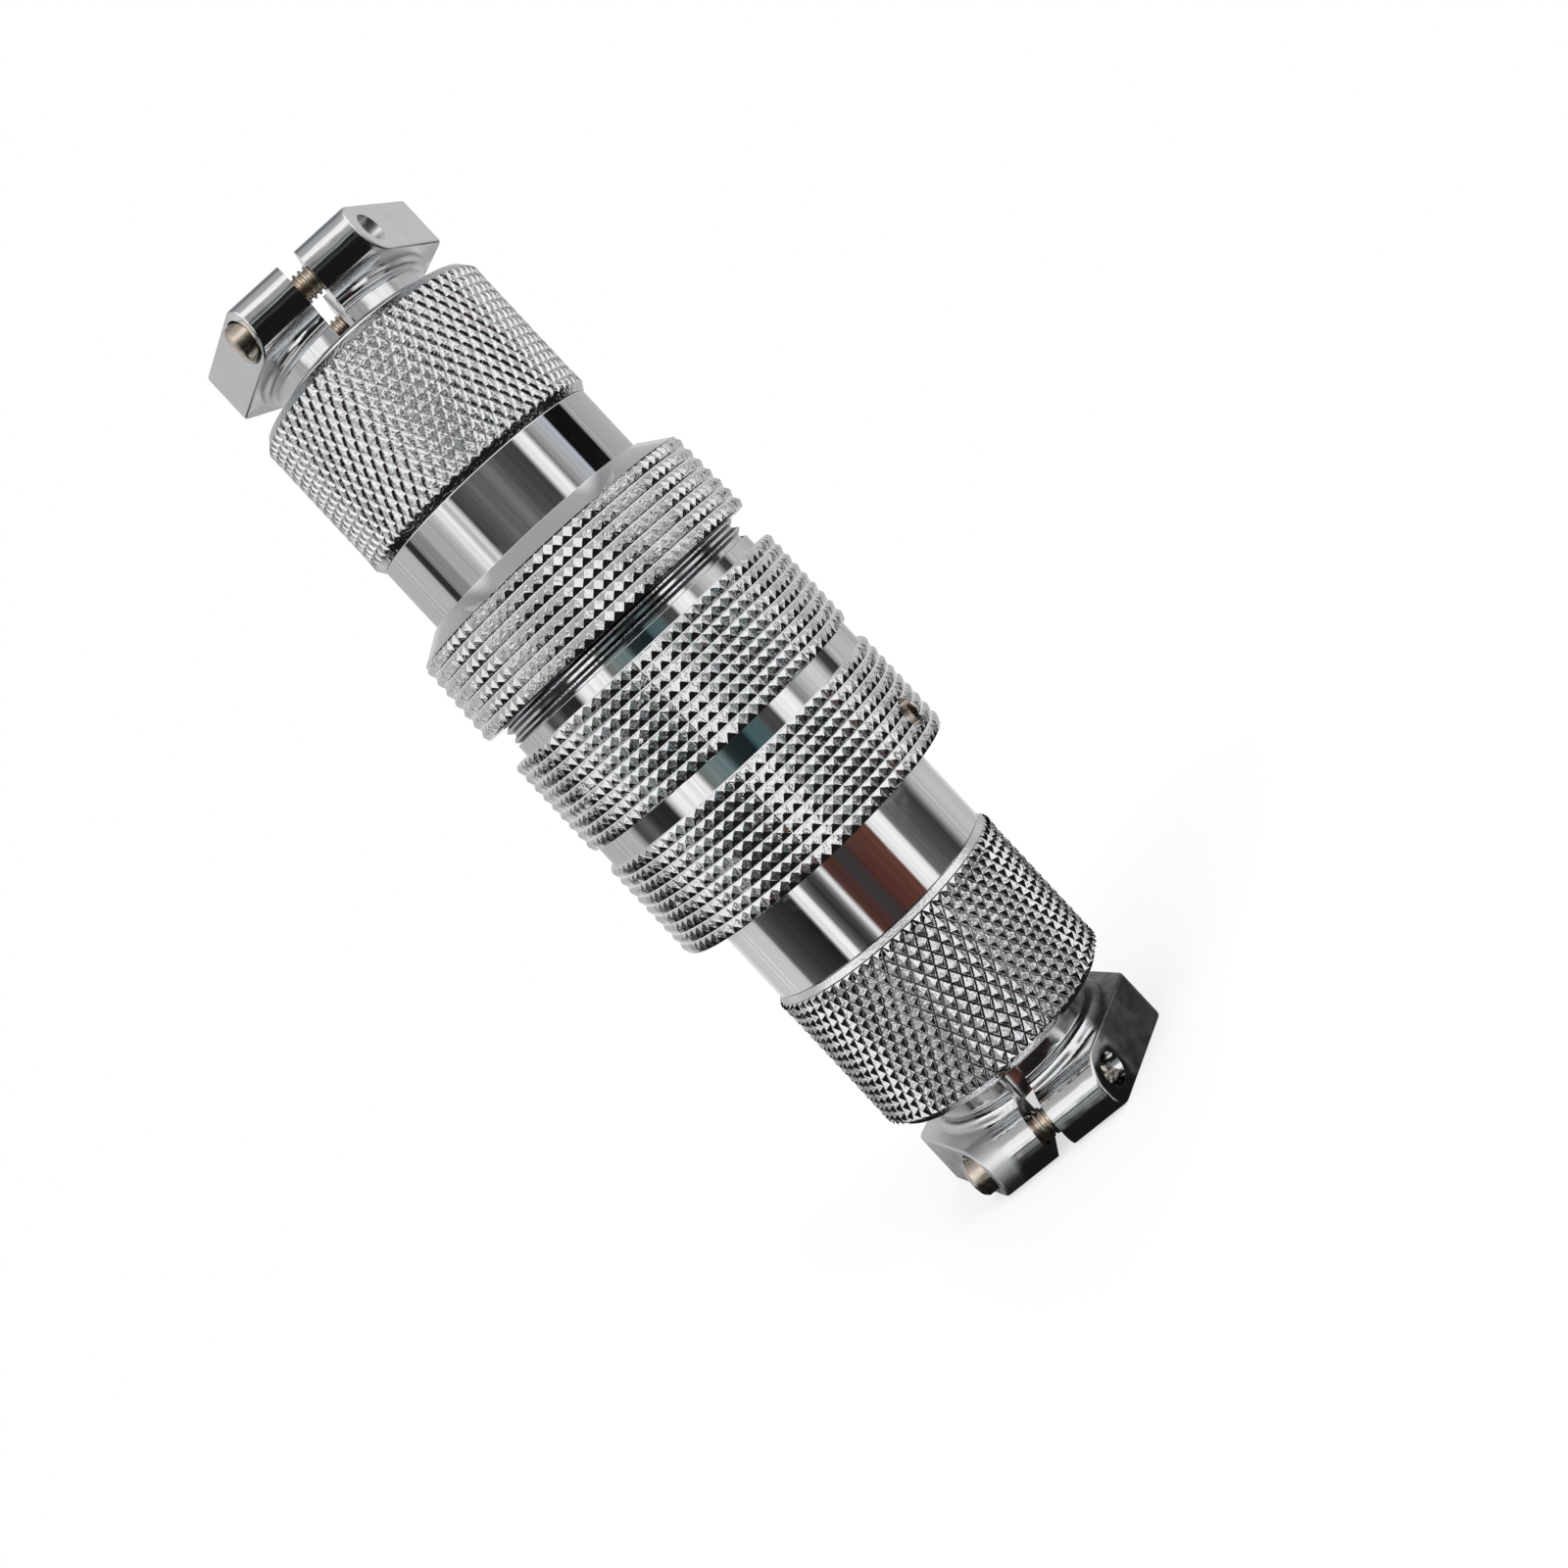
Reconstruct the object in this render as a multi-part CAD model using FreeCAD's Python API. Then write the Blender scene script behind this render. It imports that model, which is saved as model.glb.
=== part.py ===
import FreeCAD, Part
import math
import os

from FreeCAD import Vector

# A mated pair of inline circular connectors, 20 mm thread size, in millimetres.
# The pair stands on the receptacle's cable clamp: +Z runs up the common axis, the plug is on top,
# and the origin is the middle of the foot. The near side of the clamps' slots looks towards -Y.

# Lengths along the axis, from the foot up
clampPlateThick = 3.6
neckLength = 2.4
capLength = 11.1
receptacleBarrelBare = 6.0
lowerBandWidth = 7.4
ringGrooveWidth = 1.5
upperBandWidth = 7.4
threadBare = 2.3
nutKnurlWidth = 6.2
nutConeHeight = 1.3
plugBarrelBare = 4.9

# Radii that the turned bodies start from, and the walls between them
threadRadius = 10.0
cableBore = 4.2
shellWall = 1.7
barrelWall = 1.34
spigotWall = 0.6
capWall = 1.1
skirtWall = 0.94
ringWall = 1.14
nutWallAtMouth = 1.3
nutWallAtCone = 1.05
nutConeLand = 0.31
neckWall = 2.0
clampLipWall = 2.9
collarWall = 2.3

# Depths below the knurls' tips
capKnurlDepth = 0.28
ringKnurlDepth = 0.36
ringGrooveDepth = 0.44
nutKnurlDepth = 0.42

# Knurls: teeth round the circumference and rows along the axis
nutTeeth = 88
nutRows = 7
ringTeeth = 84
bandRows = 9
capTeeth = 40
capHalfRows = 9

# Clearances
runningGap = 0.06
seatGap = 0.03
axialGap = 0.05
cutOver = 30.0

# Back cap and the thread spigot that it screws on
spigotEndGap = 0.75
capEndWall = 1.6
capEdgeBevel = 0.45
barrelEdgeBevel = 0.25

# Cable clamp: swaged lip inside the cap, collar outside, slotted neck, six-sided plate with two lugs
clampLipThick = 0.7
neckFlare = 0.9
collarWidth = 0.75
cableMouthBevel = 0.4
plateInset = 0.35
lugHalfWidth = 4.3
lugOverhang = 0.1
lugOuterRound = 1.0
lugInnerRound = 2.0
slotWidth = 1.35
plugClampTurn = 2.3
receptacleClampTurn = -12.0

# Clamp screws, M2 pan head
screwRadius = 1.0
screwFromLugEnd = 1.9
screwClearHole = 1.1
screwHeadRadius = 1.32
screwHeadHeight = 1.95
screwHeadDome = 0.5
screwHeadSeat = 4.0
screwPocketRadius = 1.62
screwTipInset = 0.9
screwMouthRadius = 1.3
screwMouthDepth = 0.35
recessSpan = 1.5
recessWidth = 0.42
recessDepth = 0.9
recessTurn = 20.0
screwTipBevel = 0.3

# Coupling nut
nutMouthBevel = 0.4
nutEdgeBevel = 0.3
nutLipThick = 2.0
snapRingRadial = 0.85
snapRingThick = 0.6
snapRingGapAngle = 24.0
snapRingDrop = 0.6

# Plug shell inside the nut
flangeClearance = 0.3
flangeThick = 1.4
skirtLength = 8.5
skirtLip = 0.45
skirtLipLength = 1.5
skirtEdgeBevel = 0.2
keyWidth = 2.0
keyHeight = 0.45
keyLength = 7.0

# Receptacle shell and docking ring
shellMouthBelowFlange = 0.1
shellMouthBevel = 0.4
shellLedgeThick = 1.2
shellLedgeHeight = 0.7
shellLedgeGap = 0.3
shellRearWall = 2.3
shellTailInRing = 10.4
barrelFlangeClearance = 0.2
barrelFlangeThick = 1.4
setScrewHeight = 2.3
setScrewAngle = -30.0
setScrewDepth = 0.85
setScrewSocket = 0.5
setScrewSocketDepth = 0.9

# Insulators, their spring rings and the contacts
insulatorLength = 7.0
pinInsulatorLength = 4.9
insulatorFaceGap = 0.7
retainerThick = 0.8
retainerRadial = 1.1
retainerBite = 0.45
retainerGapAngle = 40.0
contactCount = 4
contactCircle = 4.1
pinRadius = 1.0
pinReach = 6.6
pinTipRound = 0.45
contactBodyRadius = 1.55
cupBore = 1.05
cupDepth = 3.0
cupLength = 4.4
cupWindow = 2.4
cupCutFromAxis = 0.7
insulatorInset = 0.2
contactHood = 1.0
contactMouthBevel = 0.15
pinEndGap = 0.5

# Radii worked out from the walls above
shellBore = threadRadius - shellWall
skirtRadius = shellBore - runningGap
barrelBore = skirtRadius - skirtWall
barrelRadius = barrelBore + barrelWall
spigotRadius = barrelBore + spigotWall
capTipRadius = spigotRadius + capWall
shellRearBore = threadRadius - shellRearWall
shellLedgeRadius = shellRearBore - shellLedgeHeight
ringTipRadius = threadRadius + ringWall
ringGrooveRadius = ringTipRadius - ringGrooveDepth
nutTipRadiusAtMouth = threadRadius + nutWallAtMouth
nutTipRadiusAtCone = threadRadius + nutWallAtCone
nutConeTopRadius = barrelRadius + nutConeLand
flangeRadius = threadRadius - flangeClearance
barrelFlangeRadius = threadRadius - barrelFlangeClearance
neckRadius = cableBore + neckWall
clampLipRadius = cableBore + clampLipWall
collarRadius = cableBore + collarWall
plateHalfWidth = capTipRadius - plateInset
lugReach = capTipRadius + lugOverhang
screwOffset = lugReach - screwFromLugEnd
spigotLength = capLength - capEndWall - axialGap - clampLipThick - spigotEndGap

# Stations worked out from the lengths above
plateTop = clampPlateThick
capFoot = plateTop + neckLength
capMouthLow = capFoot + capLength
ringFoot = capMouthLow + receptacleBarrelBare
grooveLow = ringFoot + lowerBandWidth
grooveHigh = grooveLow + ringGrooveWidth
ringTop = grooveHigh + upperBandWidth
nutMouth = ringTop + threadBare
nutConeFoot = nutMouth + nutKnurlWidth
nutTop = nutConeFoot + nutConeHeight
capMouthHigh = nutTop + plugBarrelBare
totalHeight = capMouthHigh + capLength + neckLength + clampPlateThick

lipUnder = nutTop - nutLipThick
flangeTop = lipUnder - axialGap
flangeFoot = flangeTop - flangeThick
skirtFoot = flangeFoot - skirtLength
shellMouth = flangeFoot - shellMouthBelowFlange
shellFoot = ringTop - shellTailInRing
insulatorFoot = skirtFoot + skirtLipLength
insulatorTop = insulatorFoot + insulatorLength
pinFaceTop = skirtFoot - insulatorFaceGap
pinInsulatorShoulder = pinFaceTop - shellLedgeThick
pinInsulatorFoot = pinInsulatorShoulder - pinInsulatorLength

up = Vector(0, 0, 1)
origin = Vector(0, 0, 0)


def outlineEdges(points):
    # (radius, height) points; an arc is written as ((mid radius, mid height), (end radius, end height))
    edges = []
    last = points[0]
    for point in points[1:]:
        if isinstance(point[0], tuple):
            middle, end = point
            arc = Part.Arc(Vector(last[0], 0, last[1]), Vector(middle[0], 0, middle[1]), Vector(end[0], 0, end[1]))
            edges.append(arc.toShape())
            last = end
        else:
            edges.append(Part.LineSegment(Vector(last[0], 0, last[1]), Vector(point[0], 0, point[1])).toShape())
            last = point
    return edges


def turned(points):
    # a solid of revolution from a closed outline
    face = Part.Face(Part.Wire(outlineEdges(points + [points[0]])))
    return face.revolve(origin, up, 360)


def turnedSkin(points):
    # the faces swept by an open outline, to be closed by knurled faces
    return Part.Wire(outlineEdges(points)).revolve(origin, up, 360).Faces


def polar(radius, angle, height):
    return Vector(radius * math.cos(angle), radius * math.sin(angle), height)


def triangle(a, b, c):
    return Part.Face(Part.makePolygon([a, b, c, a]))


def flatRing(corners, radius, height):
    # the flat face between a knurl's toothed edge and the round shoulder inside it
    rim = Part.makePolygon(corners + [corners[0]])
    hole = Part.Wire(Part.makeCircle(radius, Vector(0, 0, height)))
    face = Part.Face([rim, hole])
    face.validate()
    return face


def rootRing(radius, teeth, height):
    half = math.pi / teeth
    return [polar(radius, (2 * j - 1) * half, height) for j in range(teeth)]


def squareKnurl(low, width, rows, teeth, depth, tipLow, tipHigh):
    # rows of four-sided pyramids, as crossed straight and ring grooves leave them
    pitch = width / rows
    step = 2 * math.pi / teeth
    tipAt = lambda height: tipLow + (tipHigh - tipLow) * (height - low) / width
    rings = []
    for k in range(rows + 1):
        height = low + k * pitch
        rings.append(rootRing(tipAt(height) - depth, teeth, height))
    faces = []
    for k in range(rows):
        middle = low + (k + 0.5) * pitch
        for j in range(teeth):
            peak = polar(tipAt(middle), j * step, middle)
            a, b = rings[k][j], rings[k][(j + 1) % teeth]
            c, d = rings[k + 1][(j + 1) % teeth], rings[k + 1][j]
            faces += [triangle(a, b, peak), triangle(b, c, peak), triangle(c, d, peak), triangle(d, a, peak)]
    return faces, rings[0], rings[-1]


def diamondKnurl(low, width, halfRows, teeth, tip, depth):
    # crossed helical grooves leave diamonds: roots where they cross, a peak in the middle of each
    half = math.pi / teeth
    rise = width / halfRows
    spot = lambda j, k: polar(tip if (j + k) % 2 else tip - depth, j * half, low + k * rise)
    faces = []
    for k in range(halfRows + 1):
        for j in range(2 * teeth):
            if (j + k) % 2 == 0:
                continue
            peak, left, right = spot(j, k), spot(j - 1, k), spot(j + 1, k)
            if k < halfRows:
                above = spot(j, k + 1)
                faces += [triangle(peak, right, above), triangle(above, left, peak)]
            if k > 0:
                below = spot(j, k - 1)
                faces += [triangle(peak, left, below), triangle(below, right, peak)]
    rim = lambda k: [spot(j, k) for j in range(2 * teeth)]
    return faces, rim(0), rim(halfRows)


def closeUp(faces):
    shell = Part.Shell(faces)
    shell.sewShape()
    solid = Part.Solid(shell if shell.ShapeType == "Shell" else shell.Shells[0])
    if solid.Volume < 0:
        solid.reverse()
    return solid


def cylinderAlongX(radius, low, high, y, z):
    return Part.makeCylinder(radius, high - low, Vector(low, y, z), Vector(1, 0, 0))


def gapWedge(radius, angle, low, high, direction):
    # the slice taken out of a spring ring, centred on a direction in degrees
    half = math.radians(angle / 2)
    wedge = Part.Face(Part.makePolygon([
        Vector(0, 0, low), polar(radius, -half, low), polar(radius, half, low), Vector(0, 0, low)]))
    solid = wedge.extrude(Vector(0, 0, high - low))
    solid.rotate(origin, up, direction)
    return solid


def springRing(inner, outer, low, high, gapAngle, direction):
    ring = turned([(inner, low), (outer, low), (outer, high), (inner, high)])
    return ring.cut(gapWedge(cutOver, gapAngle, low - cutOver, high + cutOver, direction))


# The tail parts are drawn with the cable leaving upwards and the cap's mouth at height 0

def backCap():
    root = capTipRadius - capKnurlDepth
    knurlLow = barrelEdgeBevel
    knurlHigh = capLength - capEdgeBevel
    shoulder = root * math.cos(math.pi / capTeeth) - seatGap
    faces, lowRim, highRim = diamondKnurl(
        knurlLow, knurlHigh - knurlLow, capHalfRows, capTeeth, capTipRadius, capKnurlDepth)
    inside = turnedSkin([
        (shoulder, knurlHigh),
        (shoulder - capEdgeBevel, capLength),
        (neckRadius + runningGap, capLength),
        (neckRadius + runningGap, capLength - capEndWall),
        (spigotRadius + seatGap, capLength - capEndWall),
        (spigotRadius + seatGap, 0),
        (shoulder - barrelEdgeBevel, 0),
        (shoulder, knurlLow)])
    return closeUp(faces + inside + [flatRing(lowRim, shoulder, knurlLow), flatRing(highRim, shoulder, knurlHigh)])


def clampOutline():
    # six-sided plate seen along the cable, with the near and far ends rounded as lugs for the screws
    corners = [(plateHalfWidth, 0), (lugHalfWidth, lugReach), (-lugHalfWidth, lugReach),
               (-plateHalfWidth, 0), (-lugHalfWidth, -lugReach), (lugHalfWidth, -lugReach)]
    return [Vector(x, y, 0) for x, y in corners]


def lugSection(low, high):
    # the plate's section across the screws, extruded along X: rounder on the side that faces the cap
    inner = lugInnerRound
    outer = lugOuterRound
    slant = math.sqrt(0.5)
    y = lugReach
    points = [
        (-y, low + inner), ((-y + inner * (1 - slant), low + inner * (1 - slant)), (-y + inner, low)),
        (y - inner, low), ((y - inner * (1 - slant), low + inner * (1 - slant)), (y, low + inner)),
        (y, high - outer), ((y - outer * (1 - slant), high - outer * (1 - slant)), (y - outer, high)),
        (-y + outer, high), ((-y + outer * (1 - slant), high - outer * (1 - slant)), (-y, high - outer)),
        (-y, low + inner)]
    face = Part.Face(Part.Wire(outlineEdges(points)))
    solid = face.extrude(Vector(0, 2 * plateHalfWidth, 0))
    solid.translate(Vector(0, -plateHalfWidth, 0))
    solid.rotate(origin, up, -90)
    return solid


def facetAt(y):
    # how far out along X the slanted facet lies at a given Y
    return plateHalfWidth - (plateHalfWidth - lugHalfWidth) * abs(y) / lugReach


def cableClamp():
    lipHigh = capLength - capEndWall - axialGap
    lipLow = lipHigh - clampLipThick
    collarLow = capLength + axialGap
    collarHigh = collarLow + collarWidth
    plateLow = capLength + neckLength
    plateHigh = plateLow + clampPlateThick
    flareTurn = neckFlare * (1 - math.sqrt(0.5))
    neck = turned([
        (cableBore, lipLow), (clampLipRadius, lipLow), (clampLipRadius, lipHigh), (neckRadius, lipHigh),
        (neckRadius, collarLow), (collarRadius, collarLow), (collarRadius, collarHigh), (neckRadius, collarHigh),
        (neckRadius, plateLow - neckFlare),
        ((neckRadius + flareTurn, plateLow - flareTurn), (neckRadius + neckFlare, plateLow)),
        (neckRadius + neckFlare, plateHigh - cableMouthBevel - axialGap), (cableBore, plateHigh - cableMouthBevel - axialGap)])
    hexagon = Part.Face(Part.makePolygon(clampOutline() + clampOutline()[:1])).extrude(Vector(0, 0, clampPlateThick))
    hexagon.translate(Vector(0, 0, plateLow))
    plate = hexagon.common(lugSection(plateLow, plateHigh))
    bore = turned([
        (0, lipLow), (cableBore, lipLow), (cableBore, plateHigh - cableMouthBevel),
        (cableBore + cableMouthBevel, plateHigh), (cableBore + cableMouthBevel, plateHigh + cutOver),
        (0, plateHigh + cutOver)])
    clamp = neck.fuse(plate).cut(bore)
    slot = Part.makeBox(slotWidth, 2 * cutOver, cutOver, Vector(-slotWidth / 2, -cutOver, collarHigh))
    clamp = clamp.cut(slot)
    middle = plateLow + clampPlateThick / 2
    for y in (-screwOffset, screwOffset):
        facet = facetAt(y)
        clamp = clamp.cut(cylinderAlongX(screwClearHole, -cutOver, 0, y, middle))
        clamp = clamp.cut(cylinderAlongX(screwPocketRadius, -cutOver, -screwHeadSeat, y, middle))
        clamp = clamp.cut(cylinderAlongX(screwRadius + seatGap, 0, cutOver, y, middle))
        mouth = Part.makeCone(screwRadius, screwMouthRadius, screwMouthDepth,
                              Vector(facet - screwMouthDepth, y, middle), Vector(1, 0, 0))
        relief = cylinderAlongX(screwMouthRadius, facet, cutOver, y, middle)
        clamp = clamp.cut(mouth).cut(relief)
    return clamp.removeSplitter()


def clampScrew(y):
    # drawn along X with its head on the -X jaw
    middle = capLength + neckLength + clampPlateThick / 2
    top = screwHeadHeight
    dome = screwHeadDome
    head = turned([
        (0, 0), (screwHeadRadius, 0), (screwHeadRadius, top - dome),
        ((screwHeadRadius * 0.86, top - dome * 0.42), (screwHeadRadius * 0.6, top - dome * 0.1)), (0, top)])
    for turn in (0, 90):
        arm = Part.makeBox(recessSpan, recessWidth, cutOver, Vector(-recessSpan / 2, -recessWidth / 2, top - recessDepth))
        arm.rotate(origin, up, turn + recessTurn)
        head = head.cut(arm)
    length = screwHeadSeat + facetAt(y) - screwTipInset
    bevel = screwTipBevel
    shank = turned([
        (0, -length), (screwRadius - bevel, -length), (screwRadius, -length + bevel), (screwRadius, 0), (0, 0)])
    screw = head.fuse(shank)
    screw.rotate(origin, Vector(0, 1, 0), -90)
    screw.translate(Vector(-screwHeadSeat, y, middle))
    return screw


def placeOnPlug(shape, turn=0):
    shape.translate(Vector(0, 0, capMouthHigh))
    shape.rotate(origin, up, turn)
    return shape


def placeOnReceptacle(shape, turn=0):
    shape.rotate(origin, Vector(1, 0, 0), 180)
    shape.translate(Vector(0, 0, capMouthLow))
    shape.rotate(origin, up, turn)
    return shape


# The plug

def plugBarrel():
    bore = barrelBore
    grooveTop = nutTop - snapRingDrop
    grooveFoot = grooveTop - snapRingThick - axialGap
    grooveInner = barrelRadius - snapRingRadial / 2
    retainerFoot = insulatorTop
    retainerTop = retainerFoot + retainerThick + axialGap
    body = turned([
        (bore - skirtLip, skirtFoot), (skirtRadius - skirtEdgeBevel, skirtFoot),
        (skirtRadius, skirtFoot + skirtEdgeBevel),
        (skirtRadius, flangeFoot), (flangeRadius, flangeFoot), (flangeRadius, flangeTop),
        (barrelRadius, flangeTop), (barrelRadius, grooveFoot), (grooveInner, grooveFoot), (grooveInner, grooveTop),
        (barrelRadius, grooveTop), (barrelRadius, capMouthHigh), (spigotRadius, capMouthHigh),
        (spigotRadius, capMouthHigh + spigotLength), (bore, capMouthHigh + spigotLength),
        (bore, retainerTop), (bore + retainerBite, retainerTop), (bore + retainerBite, retainerFoot),
        (bore, retainerFoot), (bore, insulatorFoot), (bore - skirtLip, insulatorFoot)])
    key = Part.makeBox(keyWidth, keyHeight + skirtWall / 2, keyLength,
                       Vector(-keyWidth / 2, -skirtRadius - keyHeight, flangeFoot - keyLength))
    return body.fuse(key).removeSplitter()


def couplingNut():
    knurlFoot = nutMouth + nutEdgeBevel
    faces, lowRim, highRim = squareKnurl(
        knurlFoot, nutConeFoot - knurlFoot, nutRows, nutTeeth, nutKnurlDepth, nutTipRadiusAtMouth, nutTipRadiusAtCone)
    inset = math.cos(math.pi / nutTeeth)
    lowShoulder = (nutTipRadiusAtMouth - nutKnurlDepth) * inset - seatGap
    highShoulder = (nutTipRadiusAtCone - nutKnurlDepth) * inset - seatGap
    lipBore = barrelRadius + runningGap
    threadBore = threadRadius + runningGap
    grooveTop = nutTop - snapRingDrop + axialGap
    grooveFoot = nutTop - snapRingDrop - snapRingThick - 2 * axialGap
    grooveOuter = barrelRadius + snapRingRadial / 2 + runningGap
    inside = turnedSkin([
        (highShoulder, nutConeFoot), (nutConeTopRadius, nutTop), (lipBore, nutTop),
        (lipBore, grooveTop), (grooveOuter, grooveTop), (grooveOuter, grooveFoot), (lipBore, grooveFoot),
        (lipBore, lipUnder), (threadBore, lipUnder), (threadBore, nutMouth + nutMouthBevel),
        (threadBore + nutMouthBevel, nutMouth), (lowShoulder - nutEdgeBevel, nutMouth), (lowShoulder, knurlFoot)])
    return closeUp(faces + inside + [flatRing(lowRim, lowShoulder, knurlFoot), flatRing(highRim, highShoulder, nutConeFoot)])


def nutSnapRing():
    # a square wire ring, half in the barrel's groove and half in the nut's
    top = nutTop - snapRingDrop
    inner = barrelRadius - snapRingRadial / 2 + seatGap
    outer = barrelRadius + snapRingRadial / 2
    return springRing(inner, outer, top - snapRingThick, top, snapRingGapAngle, 90)


def contactSpots():
    for i in range(contactCount):
        angle = math.pi / 4 + 2 * math.pi * i / contactCount
        yield contactCircle * math.cos(angle), contactCircle * math.sin(angle)


def plugInsulator():
    front = skirtFoot + insulatorInset
    body = turned([
        (0, front), (barrelBore - skirtLip - seatGap, front), (barrelBore - skirtLip - seatGap, insulatorFoot),
        (barrelBore - seatGap, insulatorFoot), (barrelBore - seatGap, insulatorTop), (0, insulatorTop)])
    for x, y in contactSpots():
        entry = Part.makeCylinder(pinRadius + 2 * runningGap, cutOver, Vector(x, y, front - cutOver / 2))
        seat = Part.makeCylinder(contactBodyRadius + seatGap, cutOver, Vector(x, y, front + contactHood))
        body = body.cut(entry).cut(seat)
    return body


def contactSocket(x, y):
    front = skirtFoot + insulatorInset + contactHood + seatGap
    rear = insulatorTop + cupLength
    bore = pinRadius + runningGap
    reach = pinFaceTop + pinReach + pinEndGap
    body = turned([
        (bore + contactMouthBevel, front), (contactBodyRadius, front), (contactBodyRadius, rear), (cupBore, rear),
        (cupBore, rear - cupDepth), (0, rear - cupDepth), (0, reach), (bore, reach), (bore, front + contactMouthBevel)])
    window = Part.makeBox(cutOver, 2 * contactBodyRadius, cutOver,
                          Vector(cupCutFromAxis, -contactBodyRadius, rear - cupWindow))
    body = body.cut(window)
    body.rotate(origin, up, math.degrees(math.atan2(y, x)))
    body.translate(Vector(x, y, 0))
    return body


# The receptacle

def receptacleBarrel():
    flangeTopZ = shellFoot - axialGap
    flangeFootZ = flangeTopZ - barrelFlangeThick
    return turned([
        (barrelBore, capMouthLow - spigotLength), (spigotRadius, capMouthLow - spigotLength),
        (spigotRadius, capMouthLow), (barrelRadius, capMouthLow), (barrelRadius, flangeFootZ),
        (barrelFlangeRadius, flangeFootZ), (barrelFlangeRadius, flangeTopZ), (barrelBore, flangeTopZ)])


def receptacleShell():
    # the threaded front shell: the plug's skirt goes in at the top, the insulator from below
    retainerTop = pinInsulatorFoot
    retainerFoot = retainerTop - retainerThick - axialGap
    body = turned([
        (shellRearBore, shellFoot), (threadRadius, shellFoot), (threadRadius, shellMouth - shellMouthBevel),
        (threadRadius - shellMouthBevel, shellMouth), (shellBore + skirtEdgeBevel, shellMouth),
        (shellBore, shellMouth - skirtEdgeBevel), (shellBore, skirtFoot - shellLedgeGap),
        (shellLedgeRadius, skirtFoot - shellLedgeGap), (shellLedgeRadius, pinInsulatorShoulder),
        (shellRearBore, pinInsulatorShoulder), (shellRearBore, retainerTop), (shellRearBore + retainerBite, retainerTop),
        (shellRearBore + retainerBite, retainerFoot), (shellRearBore, retainerFoot)])
    keyway = Part.makeBox(keyWidth + 2 * runningGap, keyHeight + skirtWall, cutOver,
                          Vector(-keyWidth / 2 - runningGap, -skirtRadius - keyHeight - runningGap,
                                 flangeFoot - keyLength - shellLedgeGap))
    return body.cut(keyway)


def dockingRing():
    low = squareKnurl(ringFoot, lowerBandWidth, bandRows, ringTeeth, ringKnurlDepth, ringTipRadius, ringTipRadius)
    high = squareKnurl(grooveHigh, upperBandWidth, bandRows, ringTeeth, ringKnurlDepth, ringTipRadius, ringTipRadius)
    shoulder = (ringTipRadius - ringKnurlDepth) * math.cos(math.pi / ringTeeth) - seatGap
    stepZ = shellFoot - axialGap - barrelFlangeThick - axialGap
    inside = turnedSkin([
        (shoulder, ringTop), (threadRadius + seatGap, ringTop), (threadRadius + seatGap, stepZ),
        (barrelRadius + seatGap, stepZ), (barrelRadius + seatGap, ringFoot), (shoulder, ringFoot)])
    groove = turnedSkin([(ringGrooveRadius, grooveLow), (ringGrooveRadius, grooveHigh)])
    rims = [flatRing(low[1], shoulder, ringFoot), flatRing(low[2], ringGrooveRadius, grooveLow),
            flatRing(high[1], ringGrooveRadius, grooveHigh), flatRing(high[2], shoulder, ringTop)]
    ring = closeUp(low[0] + high[0] + inside + groove + rims)
    hole = Part.makeCylinder(screwRadius + seatGap, ringTipRadius, Vector(0, 0, 0), Vector(1, 0, 0))
    hole.rotate(origin, up, setScrewAngle)
    hole.translate(Vector(0, 0, ringFoot + setScrewHeight))
    return ring.cut(hole)


def ringSetScrew():
    outer = ringTipRadius - setScrewDepth
    inner = barrelRadius
    bevel = screwTipBevel
    screw = turned([
        (0, inner), (screwRadius - bevel, inner), (screwRadius, inner + bevel), (screwRadius, outer),
        (0, outer)])
    socket = Part.Face(Part.makePolygon([polar(setScrewSocket, math.pi / 3 * i, outer) for i in range(7)]))
    screw = screw.cut(socket.extrude(Vector(0, 0, -setScrewSocketDepth)))
    screw.rotate(origin, Vector(0, 1, 0), 90)
    screw.rotate(origin, up, setScrewAngle)
    screw.translate(Vector(0, 0, ringFoot + setScrewHeight))
    return screw


def pinInsulator():
    body = turned([
        (0, pinInsulatorFoot), (shellRearBore - seatGap, pinInsulatorFoot),
        (shellRearBore - seatGap, pinInsulatorShoulder), (shellLedgeRadius - seatGap, pinInsulatorShoulder),
        (shellLedgeRadius - seatGap, pinFaceTop), (0, pinFaceTop)])
    for x, y in contactSpots():
        body = body.cut(Part.makeCylinder(
            contactBodyRadius + seatGap, cutOver, Vector(x, y, pinInsulatorShoulder - cutOver)))
        body = body.cut(Part.makeCylinder(pinRadius + seatGap, cutOver, Vector(x, y, pinInsulatorFoot)))
    return body


def contactPin(x, y):
    tip = pinFaceTop + pinReach
    rear = pinInsulatorFoot - cupLength
    shoulder = pinInsulatorShoulder - seatGap
    body = turned([
        (cupBore, rear), (contactBodyRadius, rear), (contactBodyRadius, shoulder), (pinRadius, shoulder),
        (pinRadius, tip - pinTipRound), (pinRadius - pinTipRound / 3, tip - pinTipRound / 3),
        (pinRadius - pinTipRound, tip), (0, tip), (0, rear + cupDepth), (cupBore, rear + cupDepth)])
    window = Part.makeBox(cutOver, 2 * contactBodyRadius, cutOver,
                          Vector(cupCutFromAxis, -contactBodyRadius, rear + cupWindow - cutOver))
    body = body.cut(window)
    body.rotate(origin, up, math.degrees(math.atan2(y, x)))
    body.translate(Vector(x, y, 0))
    return body


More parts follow.
